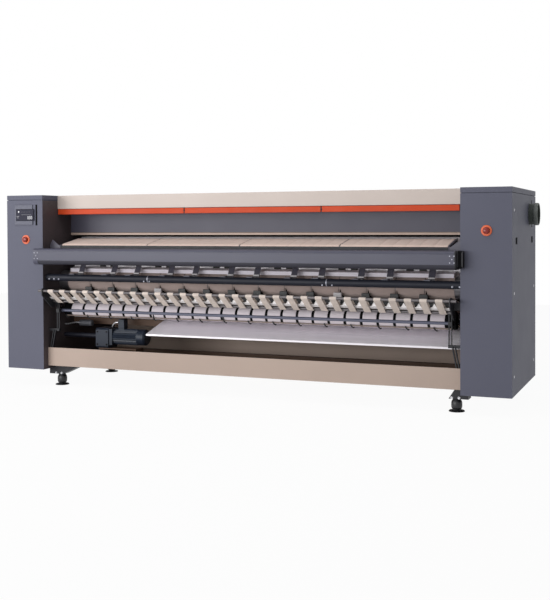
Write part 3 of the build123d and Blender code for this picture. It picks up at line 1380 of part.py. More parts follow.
with BuildPart() as stop_collars:
    with BuildSketch(facing(0)):
        with Locations((STOP_LEFT_PLACE, STOP_LEFT_HEIGHT), (STOP_RIGHT_PLACE, STOP_RIGHT_HEIGHT)):
            Circle(STOP_COLLAR_RADIUS)
            Rectangle(STOP_STEM + 2 * SEAT, STOP_STEM + 2 * SEAT, mode=Mode.SUBTRACT)
    extrude(amount=STOP_COLLAR_THICKNESS)
finish(stop_collars, "stop_collars")


def stop_button(place, height):
    """Mushroom button on a square plunger that slides in its collar."""
    underside = STOP_COLLAR_THICKNESS + STOP_TRAVEL + SHEET / 2
    with BuildPart() as button:
        with BuildSketch(facing(2 * STOP_COLLAR_THICKNESS)) as plunger:
            with Locations((place, height)):
                Rectangle(STOP_STEM, STOP_STEM)
        extrude(plunger.sketch, amount=2 * STOP_COLLAR_THICKNESS + underside)
        with BuildSketch(facing(-underside)) as mushroom:
            with Locations((place, height)):
                Circle(STOP_CAP_RADIUS)
        extrude(mushroom.sketch, amount=STOP_CAP_THICKNESS)
    return button


stop_button_left = stop_button(STOP_LEFT_PLACE, STOP_LEFT_HEIGHT)
finish(stop_button_left, "stop_button_left")
stop_button_right = stop_button(STOP_RIGHT_PLACE, STOP_RIGHT_HEIGHT)
finish(stop_button_right, "stop_button_right")

# ---- Exhaust duct, from inside the hood out through the right cabinet ----
with BuildPart() as exhaust_duct:
    duct_end = HALF_WIDTH + DUCT_PROJECTION
    round_bar(DUCT_CENTRE, DUCT_RADIUS, BAY - PLATE, duct_end)
    bore = DUCT_RADIUS - DUCT_WALL
    round_bar(DUCT_CENTRE, bore, BAY - PLATE, duct_end, Mode.SUBTRACT)
finish(exhaust_duct, "exhaust_duct")
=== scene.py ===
import math
import random

import bmesh
import bpy
from mathutils import Matrix, Vector


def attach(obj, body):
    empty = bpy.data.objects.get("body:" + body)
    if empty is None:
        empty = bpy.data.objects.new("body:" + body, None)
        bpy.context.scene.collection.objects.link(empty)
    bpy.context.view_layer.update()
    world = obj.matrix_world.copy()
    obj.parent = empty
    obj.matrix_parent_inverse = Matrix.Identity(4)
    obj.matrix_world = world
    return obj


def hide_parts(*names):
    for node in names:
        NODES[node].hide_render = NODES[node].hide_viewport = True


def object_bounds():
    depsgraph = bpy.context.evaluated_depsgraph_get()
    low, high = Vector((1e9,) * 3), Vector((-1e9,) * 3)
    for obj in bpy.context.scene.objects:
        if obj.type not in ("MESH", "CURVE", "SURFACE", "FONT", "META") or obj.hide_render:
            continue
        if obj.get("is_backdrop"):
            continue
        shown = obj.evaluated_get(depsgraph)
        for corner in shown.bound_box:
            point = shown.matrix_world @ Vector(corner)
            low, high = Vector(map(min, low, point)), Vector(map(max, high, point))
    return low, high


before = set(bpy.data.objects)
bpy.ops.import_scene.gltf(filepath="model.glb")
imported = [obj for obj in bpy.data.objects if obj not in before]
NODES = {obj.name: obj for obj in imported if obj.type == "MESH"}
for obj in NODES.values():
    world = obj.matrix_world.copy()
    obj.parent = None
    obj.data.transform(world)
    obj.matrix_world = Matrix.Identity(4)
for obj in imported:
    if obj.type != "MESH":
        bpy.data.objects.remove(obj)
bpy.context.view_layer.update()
random.seed(7)

# Sizes are in millimetres as (place, depth, height): place from the middle of the
# machine to the operator's right, depth from the front of the cabinets, height from the floor.
PLACE_SHIFT = -32.5
DEPTH_SHIFT = -491.5


def at(place, depth, height):
    """A point of the part's frame, in metres."""
    return Vector(((place + PLACE_SHIFT) / 1000, (depth + DEPTH_SHIFT) / 1000, height / 1000))


# ---------------------------------------------------------------- camera, light, ground

# The camera was fitted to the cabinets' edges. It and the lamps stand in metres, in the
# part's frame, and angles are in degrees.
SENSOR = 36.0
FOCAL_PIXELS = 987.84
IMAGE_HEIGHT, CENTRE_ROW = 600, 245.0
CAMERA_PLACE = (3.0036, -7.0084, 1.2753)
CAMERA_TURN, CAMERA_TILT, CAMERA_ROLL = 22.54, -1.15, -0.247
SOFT_LIGHT = 0.3
FLOOR_GLOW = 0.95


def camera():
    """The photo's camera. The shift moves the row it looks along above the picture's middle."""
    data = bpy.data.cameras.new("camera")
    data.sensor_fit = "VERTICAL"
    data.sensor_height = SENSOR
    data.lens = FOCAL_PIXELS * SENSOR / IMAGE_HEIGHT
    data.shift_y = -(IMAGE_HEIGHT / 2 - CENTRE_ROW) / IMAGE_HEIGHT
    data.clip_end = 100
    made = bpy.data.objects.new("camera", data)
    turn = Matrix.Rotation(math.radians(CAMERA_TURN), 4, "Z")
    tilt = Matrix.Rotation(math.radians(90 + CAMERA_TILT), 4, "X")
    roll = Matrix.Rotation(math.radians(CAMERA_ROLL), 4, "Z")
    made.matrix_world = Matrix.Translation(CAMERA_PLACE) @ turn @ tilt @ roll
    bpy.context.scene.collection.objects.link(made)
    bpy.context.scene.camera = made


def area_lamp(name, place, aim, size, power):
    """A soft box of the given width and height, turned towards its aim."""
    data = bpy.data.lights.new(name, "AREA")
    data.shape = "RECTANGLE"
    data.size, data.size_y = size
    data.energy = power
    made = bpy.data.objects.new(name, data)
    made.location = place
    made.rotation_euler = (Vector(aim) - Vector(place)).to_track_quat("-Z", "Y").to_euler()
    bpy.context.scene.collection.objects.link(made)


def seen_directly(tree):
    """1 for rays from the camera and for those that gloss and glass send on."""
    path = tree.nodes.new("ShaderNodeLightPath")
    total = path.outputs["Is Camera Ray"]
    for name in ("Is Glossy Ray", "Is Transmission Ray"):
        both = tree.nodes.new("ShaderNodeMath")
        both.operation = "MAXIMUM"
        tree.links.new(total, both.inputs[0])
        tree.links.new(path.outputs[name], both.inputs[1])
        total = both.outputs[0]
    return total


def product(tree, first, second):
    """Two values multiplied. The second may be a plain number."""
    node = tree.nodes.new("ShaderNodeMath")
    node.operation = "MULTIPLY"
    tree.links.new(first, node.inputs[0])
    if isinstance(second, float):
        node.inputs[1].default_value = second
    else:
        tree.links.new(second, node.inputs[1])
    return node.outputs[0]


def mixed(tree, share, first, second):
    """The first shader where share is 0, the second where it is 1."""
    node = tree.nodes.new("ShaderNodeMixShader")
    for socket, value in enumerate((share, first, second)):
        tree.links.new(value, node.inputs[socket])
    return node.outputs[0]


def surroundings():
    """White where they are seen or reflected, and a soft light for all else."""
    world = bpy.data.worlds.new("studio")
    bpy.context.scene.world = world
    world.use_nodes = True
    tree = world.node_tree
    tree.nodes.clear()
    soft = tree.nodes.new("ShaderNodeBackground")
    soft.inputs["Color"].default_value = (0.96, 0.98, 1.0, 1)
    soft.inputs["Strength"].default_value = SOFT_LIGHT
    white = tree.nodes.new("ShaderNodeBackground")
    white.inputs["Color"].default_value = (1, 1, 1, 1)
    out = tree.nodes.new("ShaderNodeOutputWorld")
    shown = mixed(tree, seen_directly(tree), soft.outputs[0], white.outputs[0])
    tree.links.new(shown, out.inputs[0])


def ground():
    """The studio's floor: nearly white to the camera, and it takes the feet's shadows."""
    data = bpy.data.meshes.new("floor")
    data.from_pydata([(-9, -8, 0), (9, -8, 0), (9, 9, 0), (-9, 9, 0)], [], [(0, 1, 2, 3)])
    floor = bpy.data.objects.new("floor", data)
    bpy.context.scene.collection.objects.link(floor)
    pale = bpy.data.materials.new("pale_floor")
    pale.use_nodes = True
    tree = pale.node_tree
    tree.nodes.clear()
    matt = tree.nodes.new("ShaderNodeBsdfDiffuse")
    matt.inputs["Color"].default_value = (0.9, 0.9, 0.9, 1)
    glow = tree.nodes.new("ShaderNodeEmission")
    out = tree.nodes.new("ShaderNodeOutputMaterial")
    share = product(tree, seen_directly(tree), FLOOR_GLOW)
    tree.links.new(mixed(tree, share, matt.outputs[0], glow.outputs[0]), out.inputs[0])
    data.materials.append(pale)
    floor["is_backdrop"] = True


def studio():
    surroundings()
    area_lamp("key", (-5.4, -5.8, 2.2), (-0.9, -0.5, 0.8), (3.6, 3.0), 185)
    area_lamp("front", (-2.2, -7.4, 1.25), (0.1, -0.5, 0.6), (5.0, 1.2), 180)
    area_lamp("fill", (6.5, 1.5, 2.4), (1.9, 0.2, 0.9), (2.4, 2.4), 4)
    area_lamp("top", (0, -2.2, 4.6), (0, -0.2, 1.0), (5.0, 1.6), 60)
    ground()
    bpy.context.scene.view_settings.view_transform = "Standard"


# ---------------------------------------------------------------- materials

WEAVE_TURN = 0.3
EDGE_RADIUS = 0.0025
LOOKS = {}


def linear(red, green, blue):
    """A colour of 0 to 255 sRGB numbers, as the shader takes it."""
    made = []
    for value in (red, green, blue):
        value /= 255
        made.append(value / 12.92 if value < 0.04045 else ((value + 0.055) / 1.055) ** 2.4)
    return (*made, 1)


def noise(tree, vector, scale, detail):
    """Cloudy values from 0 to 1, with so many clouds to a metre."""
    node = tree.nodes.new("ShaderNodeTexNoise")
    node.inputs["Scale"].default_value = scale
    node.inputs["Detail"].default_value = detail
    tree.links.new(vector, node.inputs["Vector"])
    return node.outputs["Fac"]


def spread(tree, value, low, high, start=0.3, end=0.7):
    """The stretch of a value from start to end, drawn out from low to high."""
    node = tree.nodes.new("ShaderNodeMapRange")
    for key, number in zip(("From Min", "From Max", "To Min", "To Max"), (start, end, low, high)):
        node.inputs[key].default_value = number
    tree.links.new(value, node.inputs["Value"])
    return node.outputs["Result"]


def blend(tree, amount, first, second):
    """From the first colour to the second. Either may be a tuple or a socket."""
    node = tree.nodes.new("ShaderNodeMix")
    node.data_type = "RGBA"
    tree.links.new(amount, node.inputs[0])
    for socket, value in ((6, first), (7, second)):
        if isinstance(value, tuple):
            node.inputs[socket].default_value = value
        else:
            tree.links.new(value, node.inputs[socket])
    return node.outputs[2]


def changed(colour, share, added=0.0):
    """The colour multiplied by a share and lifted by a little."""
    return tuple(min(1, c * share + added) for c in colour[:3]) + (1,)


def crossed_threads(tree, space, count):
    """The height of a plain weave with so many threads to a metre.

    The second threads are turned a little, so that they show on upright sheets too."""
    waves = []
    for axis, turn in (("X", 0), ("Y", WEAVE_TURN)):
        place = tree.nodes.new("ShaderNodeMapping")
        place.inputs["Rotation"].default_value = (turn, 0, 0)
        tree.links.new(space, place.inputs["Vector"])
        wave = tree.nodes.new("ShaderNodeTexWave")
        wave.bands_direction = axis
        wave.inputs["Scale"].default_value = count / 2
        wave.inputs["Distortion"].default_value = 0.6
        tree.links.new(place.outputs[0], wave.inputs["Vector"])
        waves.append(wave.outputs["Fac"])
    return product(tree, *waves)


def rubbed_edges(tree, space, patch, wear):
    """How far the paint is rubbed off: along the edges, in patches."""
    rounded = tree.nodes.new("ShaderNodeBevel")
    rounded.samples = 4
    rounded.inputs["Radius"].default_value = EDGE_RADIUS
    plain = tree.nodes.new("ShaderNodeNewGeometry")
    facing = tree.nodes.new("ShaderNodeVectorMath")
    facing.operation = "DOT_PRODUCT"
    tree.links.new(rounded.outputs[0], facing.inputs[0])
    tree.links.new(plain.outputs["Normal"], facing.inputs[1])
    edge = spread(tree, facing.outputs["Value"], 1, 0, 0.80, 0.99)
    return product(tree, edge, spread(tree, noise(tree, space, patch * 9, 5.0), 0, wear, 0.42, 0.7))


def look(name, colour, rough, metal=0.0, vary=0.08, patch=3.0, grain=500.0, depth=0.05,
         stretch=(1, 1, 1), weave=0.0, wear=0.0, sheen=0.0, shine=0.5, uneven=0.05):
    """A procedural finish: patchy colour, uneven gloss, a fine grain and, on paint, worn edges.

    patch, grain and weave say how many patches, grains and threads there are to a metre,
    vary how far the colour changes, uneven how far the gloss does, and depth how deep the
    grain is. stretch draws the grain out, as brushing does. The colour is 0 to 255, sRGB."""
    colour = linear(*colour)
    made = bpy.data.materials.new(name)
    made.use_nodes = True
    tree = made.node_tree
    shader = tree.nodes["Principled BSDF"]
    shader.inputs["Metallic"].default_value = metal
    shader.inputs["Specular IOR Level"].default_value = shine
    shader.inputs["Sheen Weight"].default_value = sheen
    space = tree.nodes.new("ShaderNodeTexCoord").outputs["Object"]
    mapping = tree.nodes.new("ShaderNodeMapping")
    mapping.inputs["Scale"].default_value = stretch
    tree.links.new(space, mapping.inputs["Vector"])
    drawn = mapping.outputs[0]

    dark, pale = changed(colour, 1 - vary), changed(colour, 1 + vary)
    tint = blend(tree, spread(tree, noise(tree, space, patch, 4.0), 0, 1), dark, pale)
    fine = noise(tree, drawn, grain, 3.0)
    height = fine
    if weave:
        height = crossed_threads(tree, space, weave)
        tint = blend(tree, spread(tree, height, 0.0, 0.35, 0.0, 1.0), tint, dark)
    tint = blend(tree, spread(tree, fine, 0.0, vary * 2), tint, dark)
    if wear:
        tint = blend(tree, rubbed_edges(tree, space, patch, wear), tint, changed(colour, 1.5, 0.08))
    gloss = spread(tree, noise(tree, drawn, patch * 5, 3.0),
                   max(0.02, rough - uneven), min(1, rough + uneven))
    bump = tree.nodes.new("ShaderNodeBump")
    bump.inputs["Strength"].default_value = depth
    bump.inputs["Distance"].default_value = 0.001
    tree.links.new(height, bump.inputs["Height"])
    tree.links.new(bump.outputs[0], shader.inputs["Normal"])
    tree.links.new(tint, shader.inputs["Base Color"])
    tree.links.new(gloss, shader.inputs["Roughness"])
    LOOKS[name] = made


look("cabinet_paint", (93, 94, 108), 0.55, vary=0.03, patch=1.2, grain=700, depth=0.03,
     wear=0.5, shine=0.2, uneven=0.015)
look("nose_paint", (73, 73, 88), 0.36, vary=0.03, patch=1.5, grain=700, depth=0.03,
     wear=0.6, shine=0.3, uneven=0.015)
look("shield_paint", (74, 73, 88), 0.45, vary=0.03, patch=1.5, grain=700, depth=0.03,
     wear=0.4, shine=0.4, uneven=0.015)
# The nose paint made darker for the nose's underside: painted shade of a face that looks down.
look("underside_painted_shade", (46, 45, 55), 0.5, vary=0.06, patch=1.5, grain=700, depth=0.03,
     wear=0.3, shine=0.3)
look("cream_paint", (202, 189, 181), 0.5, vary=0.04, patch=1.2, grain=700, depth=0.04,
     wear=0.35, shine=0.35)
look("pan_paint", (176, 157, 145), 0.5, vary=0.06, patch=1.4, grain=650, depth=0.05,
     wear=0.4, shine=0.35)
look("dark_paint", (30, 30, 35), 0.5, vary=0.15, patch=4, grain=600, depth=0.06, wear=0.4,
     shine=0.35)
look("bay_paint", (74, 66, 68), 0.55, vary=0.12, patch=3, grain=600, depth=0.06, wear=0.3,
     shine=0.3)
look("beam_paint", (34, 36, 46), 0.5, vary=0.08, patch=3, grain=600, depth=0.05, wear=0.4,
     shine=0.25)
look("tube_paint", (88, 91, 110), 0.4, vary=0.06, patch=3, grain=600, depth=0.04, wear=0.3)
# A darker brown, the colour of the base pan's inside in shade: painted shade, so that the base frame
# melts into that shade.
look("frame_brown_painted_shade", (94, 72, 58), 0.55, vary=0.08, patch=2, grain=600, depth=0.05,
     wear=0.3, shine=0.3)
look("arm_paint", (84, 82, 94), 0.45, vary=0.08, patch=6, grain=600, depth=0.05, wear=0.4)
look("orange_paint", (198, 68, 28), 0.45, vary=0.05, patch=3, grain=700, depth=0.03,
     wear=0.2, shine=0.2)
look("motor_paint", (36, 43, 56), 0.42, vary=0.14, patch=9, grain=500, depth=0.12, wear=0.6,
     shine=0.3)
look("duct_paint", (52, 58, 53), 0.5, vary=0.1, patch=6, grain=400, depth=0.08)
# The cylinder's near-white, lilac colour on a mostly matt finish is painted reflection: it stands for
# the bright surroundings that the polished steel mirrors.
look("polished_steel", (252, 249, 255), 0.5, metal=0.35, vary=0.02, patch=5, grain=900,
     depth=0.01, stretch=(0.03, 1, 1), uneven=0.02)
look("stainless", (190, 188, 194), 0.34, metal=0.85, vary=0.06, patch=3, grain=900,
     depth=0.03, stretch=(0.02, 1, 1))
# The slide's near-white, lilac, matt colour is painted reflection: it stands for the bright
# surroundings that the stainless sheet mirrors.
look("slide_steel", (252, 248, 255), 0.3, vary=0.02, patch=2, grain=900,
     depth=0.02, stretch=(0.02, 1, 1), shine=0.8)
look("comb_steel", (236, 232, 232), 0.4, metal=0.2, vary=0.04, patch=6, grain=900,
     depth=0.03)
look("roller_metal", (120, 118, 122), 0.4, metal=0.9, vary=0.1, patch=6, grain=800,
     depth=0.03, stretch=(1, 0.05, 0.05))
look("roller_rubber", (8, 8, 10), 0.8, vary=0.2, patch=6, grain=600, depth=0.1, shine=0.1)
look("rod_steel", (96, 92, 94), 0.4, metal=0.6, vary=0.1, patch=6, grain=800,
     depth=0.03, stretch=(1, 0.05, 0.05))
look("bearing_iron", (48, 49, 54), 0.55, vary=0.2, patch=15, grain=450, depth=0.25, wear=0.4)
look("chain_steel", (92, 88, 84), 0.38, metal=0.9, vary=0.25, patch=25, grain=500, depth=0.1)
look("coupling_grey", (96, 98, 104), 0.5, metal=0.3, vary=0.15, patch=20, grain=500,
     depth=0.1)
look("element_metal", (110, 96, 84), 0.45, metal=0.8, vary=0.3, patch=12, grain=500,
     depth=0.08)
look("ironing_felt", (176, 158, 152), 0.95, vary=0.08, patch=5, grain=900, depth=0.25,
     weave=500, sheen=0.1)
look("feed_canvas", (224, 201, 189), 0.9, vary=0.05, patch=3, grain=900, depth=0.2,
     weave=620, sheen=0.1)
look("tape_weave", (214, 200, 190), 0.85, vary=0.12, patch=14, grain=900, depth=0.2,
     weave=800, sheen=0.1)
look("exit_weave", (226, 216, 222), 0.6, vary=0.05, patch=7, grain=900, depth=0.15,
     weave=700, sheen=0.1)
look("guide_plastic", (30, 31, 34), 0.5, vary=0.15, patch=12, grain=600, depth=0.08)
look("guide_pale", (186, 182, 184), 0.45, vary=0.1, patch=12, grain=600, depth=0.06)
look("pad_plastic", (16, 16, 19), 0.6, vary=0.2, patch=20, grain=600, depth=0.1)
look("foot_plastic", (24, 24, 28), 0.4, vary=0.2, patch=18, grain=500, depth=0.1)
look("panel_plastic", (95, 96, 109), 0.5, vary=0.04, patch=8, grain=900, depth=0.06,
     shine=0.3)
look("screen_glass", (50, 50, 62), 0.55, vary=0.06, patch=6, grain=300, depth=0.005,
     shine=0.12)
look("icon_white", (235, 235, 238), 0.5, vary=0.04, patch=60, grain=900, depth=0.02)
look("icon_grey", (128, 128, 134), 0.5, vary=0.06, patch=60, grain=900, depth=0.02)
# The collar's orange stands partly for the lit side of the red button head, and the button's dark red
# for its shaded side: painted light and shade on the parts' own orange and red.
look("collar_plastic", (226, 100, 52), 0.4, vary=0.06, patch=30, grain=700, depth=0.04)
look("button_plastic", (130, 22, 14), 0.3, vary=0.08, patch=30, grain=700, depth=0.03)
look("screw_steel", (206, 206, 210), 0.28, metal=0.8, vary=0.12, patch=60, grain=900,
     depth=0.04)
look("dull_screw", (160, 161, 172), 0.45, metal=0.5, vary=0.12, patch=60, grain=900,
     depth=0.04)
look("black_screw", (24, 24, 28), 0.4, metal=0.5, vary=0.2, patch=60, grain=900, depth=0.05)
# A lighter copy of the duct's green for its rim: painted light on the face that the lamps catch.
look("duct_rim_painted_light", (112, 116, 112), 0.5, metal=0.1, vary=0.1, patch=20, grain=600,
     depth=0.06)
look("rubber", (9, 9, 12), 0.8, vary=0.2, patch=20, grain=500, depth=0.12, shine=0.1)
look("hook_wire", (18, 18, 20), 0.5, metal=0.2, vary=0.2, patch=20, grain=600, depth=0.05)
# The bar's brown is the colour of the exit belts in shade: painted shade.
look("drip_bar_painted_shade", (118, 102, 95), 0.5, vary=0.1, patch=4, grain=600, depth=0.05)
# A lighter copy of the pan paint for the lip's front edge: painted highlight of a lit edge.
look("lip_edge_painted_highlight", (196, 174, 160), 0.5, vary=0.05, patch=4, grain=700, depth=0.03, wear=0.3)
# The release sheet's near-white, lilac colour is painted reflection: it stands for the bright
# polished cylinder seen between the stripper arms.
look("release_sheet", (238, 232, 242), 0.5, vary=0.02, patch=4, grain=900,
     depth=0.01, stretch=(0.03, 1, 1), shine=0.3)

# ---------------------------------------------------------------- CAD nodes

SMOOTH_BELOW, BEVEL_ABOVE, FLAT_WITHIN = math.radians(35), math.radians(40), math.radians(1)
WELD_REACH = 0.00002


def smooth_group():
    """Geometry nodes that shade all smooth except the sharp edges."""
    group = bpy.data.node_groups.new("smooth_by_angle", "GeometryNodeTree")
    group.interface.new_socket("Geometry", in_out="INPUT", socket_type="NodeSocketGeometry")
    group.interface.new_socket("Geometry", in_out="OUTPUT", socket_type="NodeSocketGeometry")
    new, link = group.nodes.new, group.links.new
    start, end = new("NodeGroupInput"), new("NodeGroupOutput")
    faces = new("GeometryNodeSetShadeSmooth")
    faces.domain = "FACE"
    edges = new("GeometryNodeSetShadeSmooth")
    edges.domain = "EDGE"
    angle = new("GeometryNodeInputMeshEdgeAngle")
    gentle = new("FunctionNodeCompare")
    gentle.operation = "LESS_THAN"
    gentle.inputs[1].default_value = SMOOTH_BELOW
    link(start.outputs[0], faces.inputs["Geometry"])
    link(faces.outputs[0], edges.inputs["Geometry"])
    link(angle.outputs["Unsigned Angle"], gentle.inputs[0])
    link(gentle.outputs[0], edges.inputs["Shade Smooth"])
    link(edges.outputs[0], end.inputs[0])
    return group


SMOOTH = smooth_group()


def soften(made, bevel=0.0, weld=False):
    """Rounds the edges by a bevel in millimetres and shades the rest smooth."""
    if weld:
        made.modifiers.new("weld", "WELD").merge_threshold = WELD_REACH
    if bevel:
        if weld:
            flat = made.modifiers.new("flat", "DECIMATE")
            flat.decimate_type = "DISSOLVE"
            flat.angle_limit = FLAT_WITHIN
        edge = made.modifiers.new("edge", "BEVEL")
        edge.width = bevel / 1000
        edge.segments = 2
        edge.limit_method = "ANGLE"
        edge.angle_limit = BEVEL_ABOVE
    made.modifiers.new("smooth", "NODES").node_group = SMOOTH
    if bevel:
        even = made.modifiers.new("even", "WEIGHTED_NORMAL")
        even.keep_sharp = True


def dress(finish, *names, bevel=0.0):
    """Gives CAD nodes one of the looks."""
    for name in names:
        node = NODES[name]
        for held in node.material_slots:
            held.material = LOOKS[finish]
        soften(node, bevel, weld=True)


dress("cabinet_paint", "left_cabinet", "right_cabinet", "cabinet_caps", bevel=1.6)
dress("cabinet_paint", "rear_covers", bevel=1.0)
dress("cream_paint", "hood", bevel=1.5)
dress("pan_paint", "base_pan", bevel=1.5)
dress("pan_paint", "feed_lip", bevel=0.5)
dress("nose_paint", "nose_bar", bevel=1.0)
dress("shield_paint", "heat_shield", bevel=1.0)
# The underside of the nose bar takes the painted shade of a face that looks down.
dress("underside_painted_shade", "nose_underside", bevel=1.0)
dress("bay_paint", "side_plates", bevel=1.0)
dress("dark_paint", "end_plates", "table_front", bevel=1.0)
# The table brackets take the lighter grey of the arm paint: their own grey, lightened as a painted
# highlight on their front.
dress("arm_paint", "table_brackets", bevel=1.0)
# The base frame wears the painted shade of the pan's inside, not a paint of its own.
dress("frame_brown_painted_shade", "base_frame", bevel=0.8)
dress("dark_paint", "foot_brackets", "exit_supports", "guard_hinge", bevel=0.8)
dress("stainless", "feed_table", bevel=0.5)
# The linen slide carries painted reflection in its near-white colour.
dress("slide_steel", "linen_slide", bevel=0.5)
dress("beam_paint", "stripper_tube")
dress("tube_paint", "cross_tube")
dress("arm_paint", "stripper_arms", bevel=0.8)
dress("orange_paint", "finger_guard_left", "finger_guard_middle", "finger_guard_right")
dress("motor_paint", "gearbox", "terminal_box", bevel=2.0)
dress("motor_paint", "motor")
dress("duct_paint", "exhaust_duct")
# The cylinder carries the painted reflection of its near-white look.
dress("polished_steel", "cylinder")
dress("comb_steel", "exit_comb")
dress("roller_metal", "top_roller", "press_roller", "rear_lower_roller", "tension_roller")
dress("roller_metal", "exit_rear_roller", "feed_front_roller", "feed_rear_roller")
dress("roller_rubber", "exit_roller")
dress("rod_steel", "tape_front_rod", "tape_rear_rod")
dress("bearing_iron", "cylinder_bearings", "cylinder_heads", bevel=1.0)
dress("chain_steel", "drive_chain", "cylinder_sprocket")
dress("beam_paint", "drive_sprocket")
dress("element_metal", "heating_elements")
dress("guide_plastic", "belt_guides", bevel=1.5)
dress("pad_plastic", "stripper_pads", bevel=1.0)
dress("foot_plastic", "levelling_feet")
dress("panel_plastic", "control_plate", bevel=1.5)
dress("screen_glass", "control_screen", bevel=0.4)
dress("collar_plastic", "stop_collars")
dress("button_plastic", "stop_button_left", "stop_button_right")
dress("ironing_felt", "ironing_belts")
dress("feed_canvas", "feed_belts")
dress("tape_weave", "exit_tapes")
dress("exit_weave", "exit_belts")

# ---------------------------------------------------------------- piece builders

BOX_FACES = ((0, 1, 3, 2), (4, 6, 7, 5), (0, 4, 5, 1), (2, 3, 7, 6), (0, 2, 6, 4), (1, 5, 7, 3))
AXES = {"x": Vector((1, 0, 0)), "y": Vector((0, 1, 0)), "z": Vector((0, 0, 1))}


def piece(name, corners, faces, finish, body="machine", bevel=0.0):
    """One visible piece that moves with a body, in one of the looks."""
    data = bpy.data.meshes.new(name)
    data.from_pydata([tuple(c) for c in corners], [], faces)
    data.validate()
    mesh = bmesh.new()
    mesh.from_mesh(data)
    bmesh.ops.recalc_face_normals(mesh, faces=mesh.faces)
    mesh.to_mesh(data)
    mesh.free()
    made = bpy.data.objects.new(name, data)
    bpy.context.scene.collection.objects.link(made)
    data.materials.append(LOOKS[finish])
    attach(made, body)
    soften(made, bevel)
    return made


def blocks(name, boxes, finish, body="machine", bevel=0.8):
    """Boxes, each between two (place, depth, height) corners, as one piece."""
    corners, faces = [], []
    for low, high in boxes:
        start = len(corners)
        corners += [at(x, y, z) for x in (low[0], high[0]) for y in (low[1], high[1])
                    for z in (low[2], high[2])]
        faces += [[start + i for i in face] for face in BOX_FACES]
    return piece(name, corners, faces, finish, body, bevel)


def extruded(name, outline, left, right, finish, body="machine", bevel=0.0):
    """A bar along the machine with an outline of (depth, height) corners."""
    count = len(outline)
    corners = [at(x, y, z) for x in (left, right) for y, z in outline]
    faces = [[i, (i + 1) % count, count + (i + 1) % count, count + i] for i in range(count)]
    faces += [list(range(count)), list(range(count, 2 * count))]
    return piece(name, corners, faces, finish, body, bevel)


def add_lathe(corners, faces, centre, axis, profile, count, closed=False):
    """A turned form: profile is (distance along the axis, radius) from one end to the other.

    When it is closed, the profile's end meets its start, as in a ring."""
    start = len(corners)
    along = AXES[axis]
    side = AXES["x"] if axis == "z" else AXES["z"]
    other = along.cross(side)
    for step, radius in profile:
        for i in range(count):
            turn = 2 * math.pi * i / count
            out = side * math.cos(turn) + other * math.sin(turn)
            corners.append(centre + along * (step / 1000) + out * (radius / 1000))
    rows = [start + row * count for row in range(len(profile))]
    nexts = rows[1:] + rows[:1] if closed else rows[1:]
    for a, b in zip(rows, nexts):
        faces += [[a + i, a + (i + 1) % count, b + (i + 1) % count, b + i] for i in range(count)]
    if not closed:
        faces.append([rows[0] + i for i in range(count)][::-1])
        faces.append([rows[-1] + i for i in range(count)])


def turned(name, centres, axis, profile, finish, body="machine", count=32,
           closed=False):
    """The same turned form at each of the centres, as one piece."""
    corners, faces = [], []
    for centre in centres:
        add_lathe(corners, faces, at(*centre), axis, profile, count, closed)
    return piece(name, corners, faces, finish, body, 0.0)


def pan_heads(name, centres, axis, outward, radius, finish="screw_steel"):
    """Domed screw heads with a round socket, standing on a face that looks along axis."""
    head = ((-0.4, 1), (0.3, 1), (0.7, 0.86), (0.9, 0.6), (0.9, 0.45), (0.3, 0.42), (0.3, 0.02))
    profile = [(step * outward, radius * share) for step, share in head]
    return turned(name, centres, axis, profile, finish, count=18)


def hex_bolts(name, centres, axis, outward, across, finish="screw_steel", body="machine"):
    """Hexagon heads on washers, standing on a face that looks along axis."""
    radius = across / 2 / math.cos(math.pi / 6)
    washer = ((-0.3, radius * 1.25), (1.2, radius * 1.25))
    head = ((1.2, radius), (1.0 + across * 0.55, radius), (1.2 + across * 0.62, radius * 0.86))
    corners, faces = [], []
    for centre in centres:
        for form, sides in ((washer, 20), (head, 6)):
            profile = [(step * outward, wide) for step, wide in form]
            add_lathe(corners, faces, at(*centre), axis, profile, sides)
    return piece(name, corners, faces, finish, body)


def tube_along(name, lines, radius, finish):
    """Round wires that follow lines of (place, depth, height) corners."""
    data = bpy.data.curves.new(name, "CURVE")
    data.dimensions = "3D"
    data.bevel_depth = radius / 1000
    data.bevel_resolution = 2
    data.use_fill_caps = True
    for line in lines:
        spline = data.splines.new("BEZIER")
        spline.bezier_points.add(len(line) - 1)
        for point, corner in zip(spline.bezier_points, line):
            point.co = at(*corner)
            point.handle_left_type = point.handle_right_type = "AUTO"
    data.materials.append(LOOKS[finish])
    made = bpy.data.objects.new(name, data)
    bpy.context.scene.collection.objects.link(made)
    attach(made, "machine")


# ---------------------------------------------------------------- belts


def tangent(first, second):
    """Direction of the run between two circles (depth, height, radius, turn sense)."""
    (y1, z1, r1, s1), (y2, z2, r2, s2) = first, second
    apart = math.hypot(y2 - y1, z2 - z1)
    return math.atan2(z2 - z1, y2 - y1) + math.asin((s1 * r1 - s2 * r2) / apart)


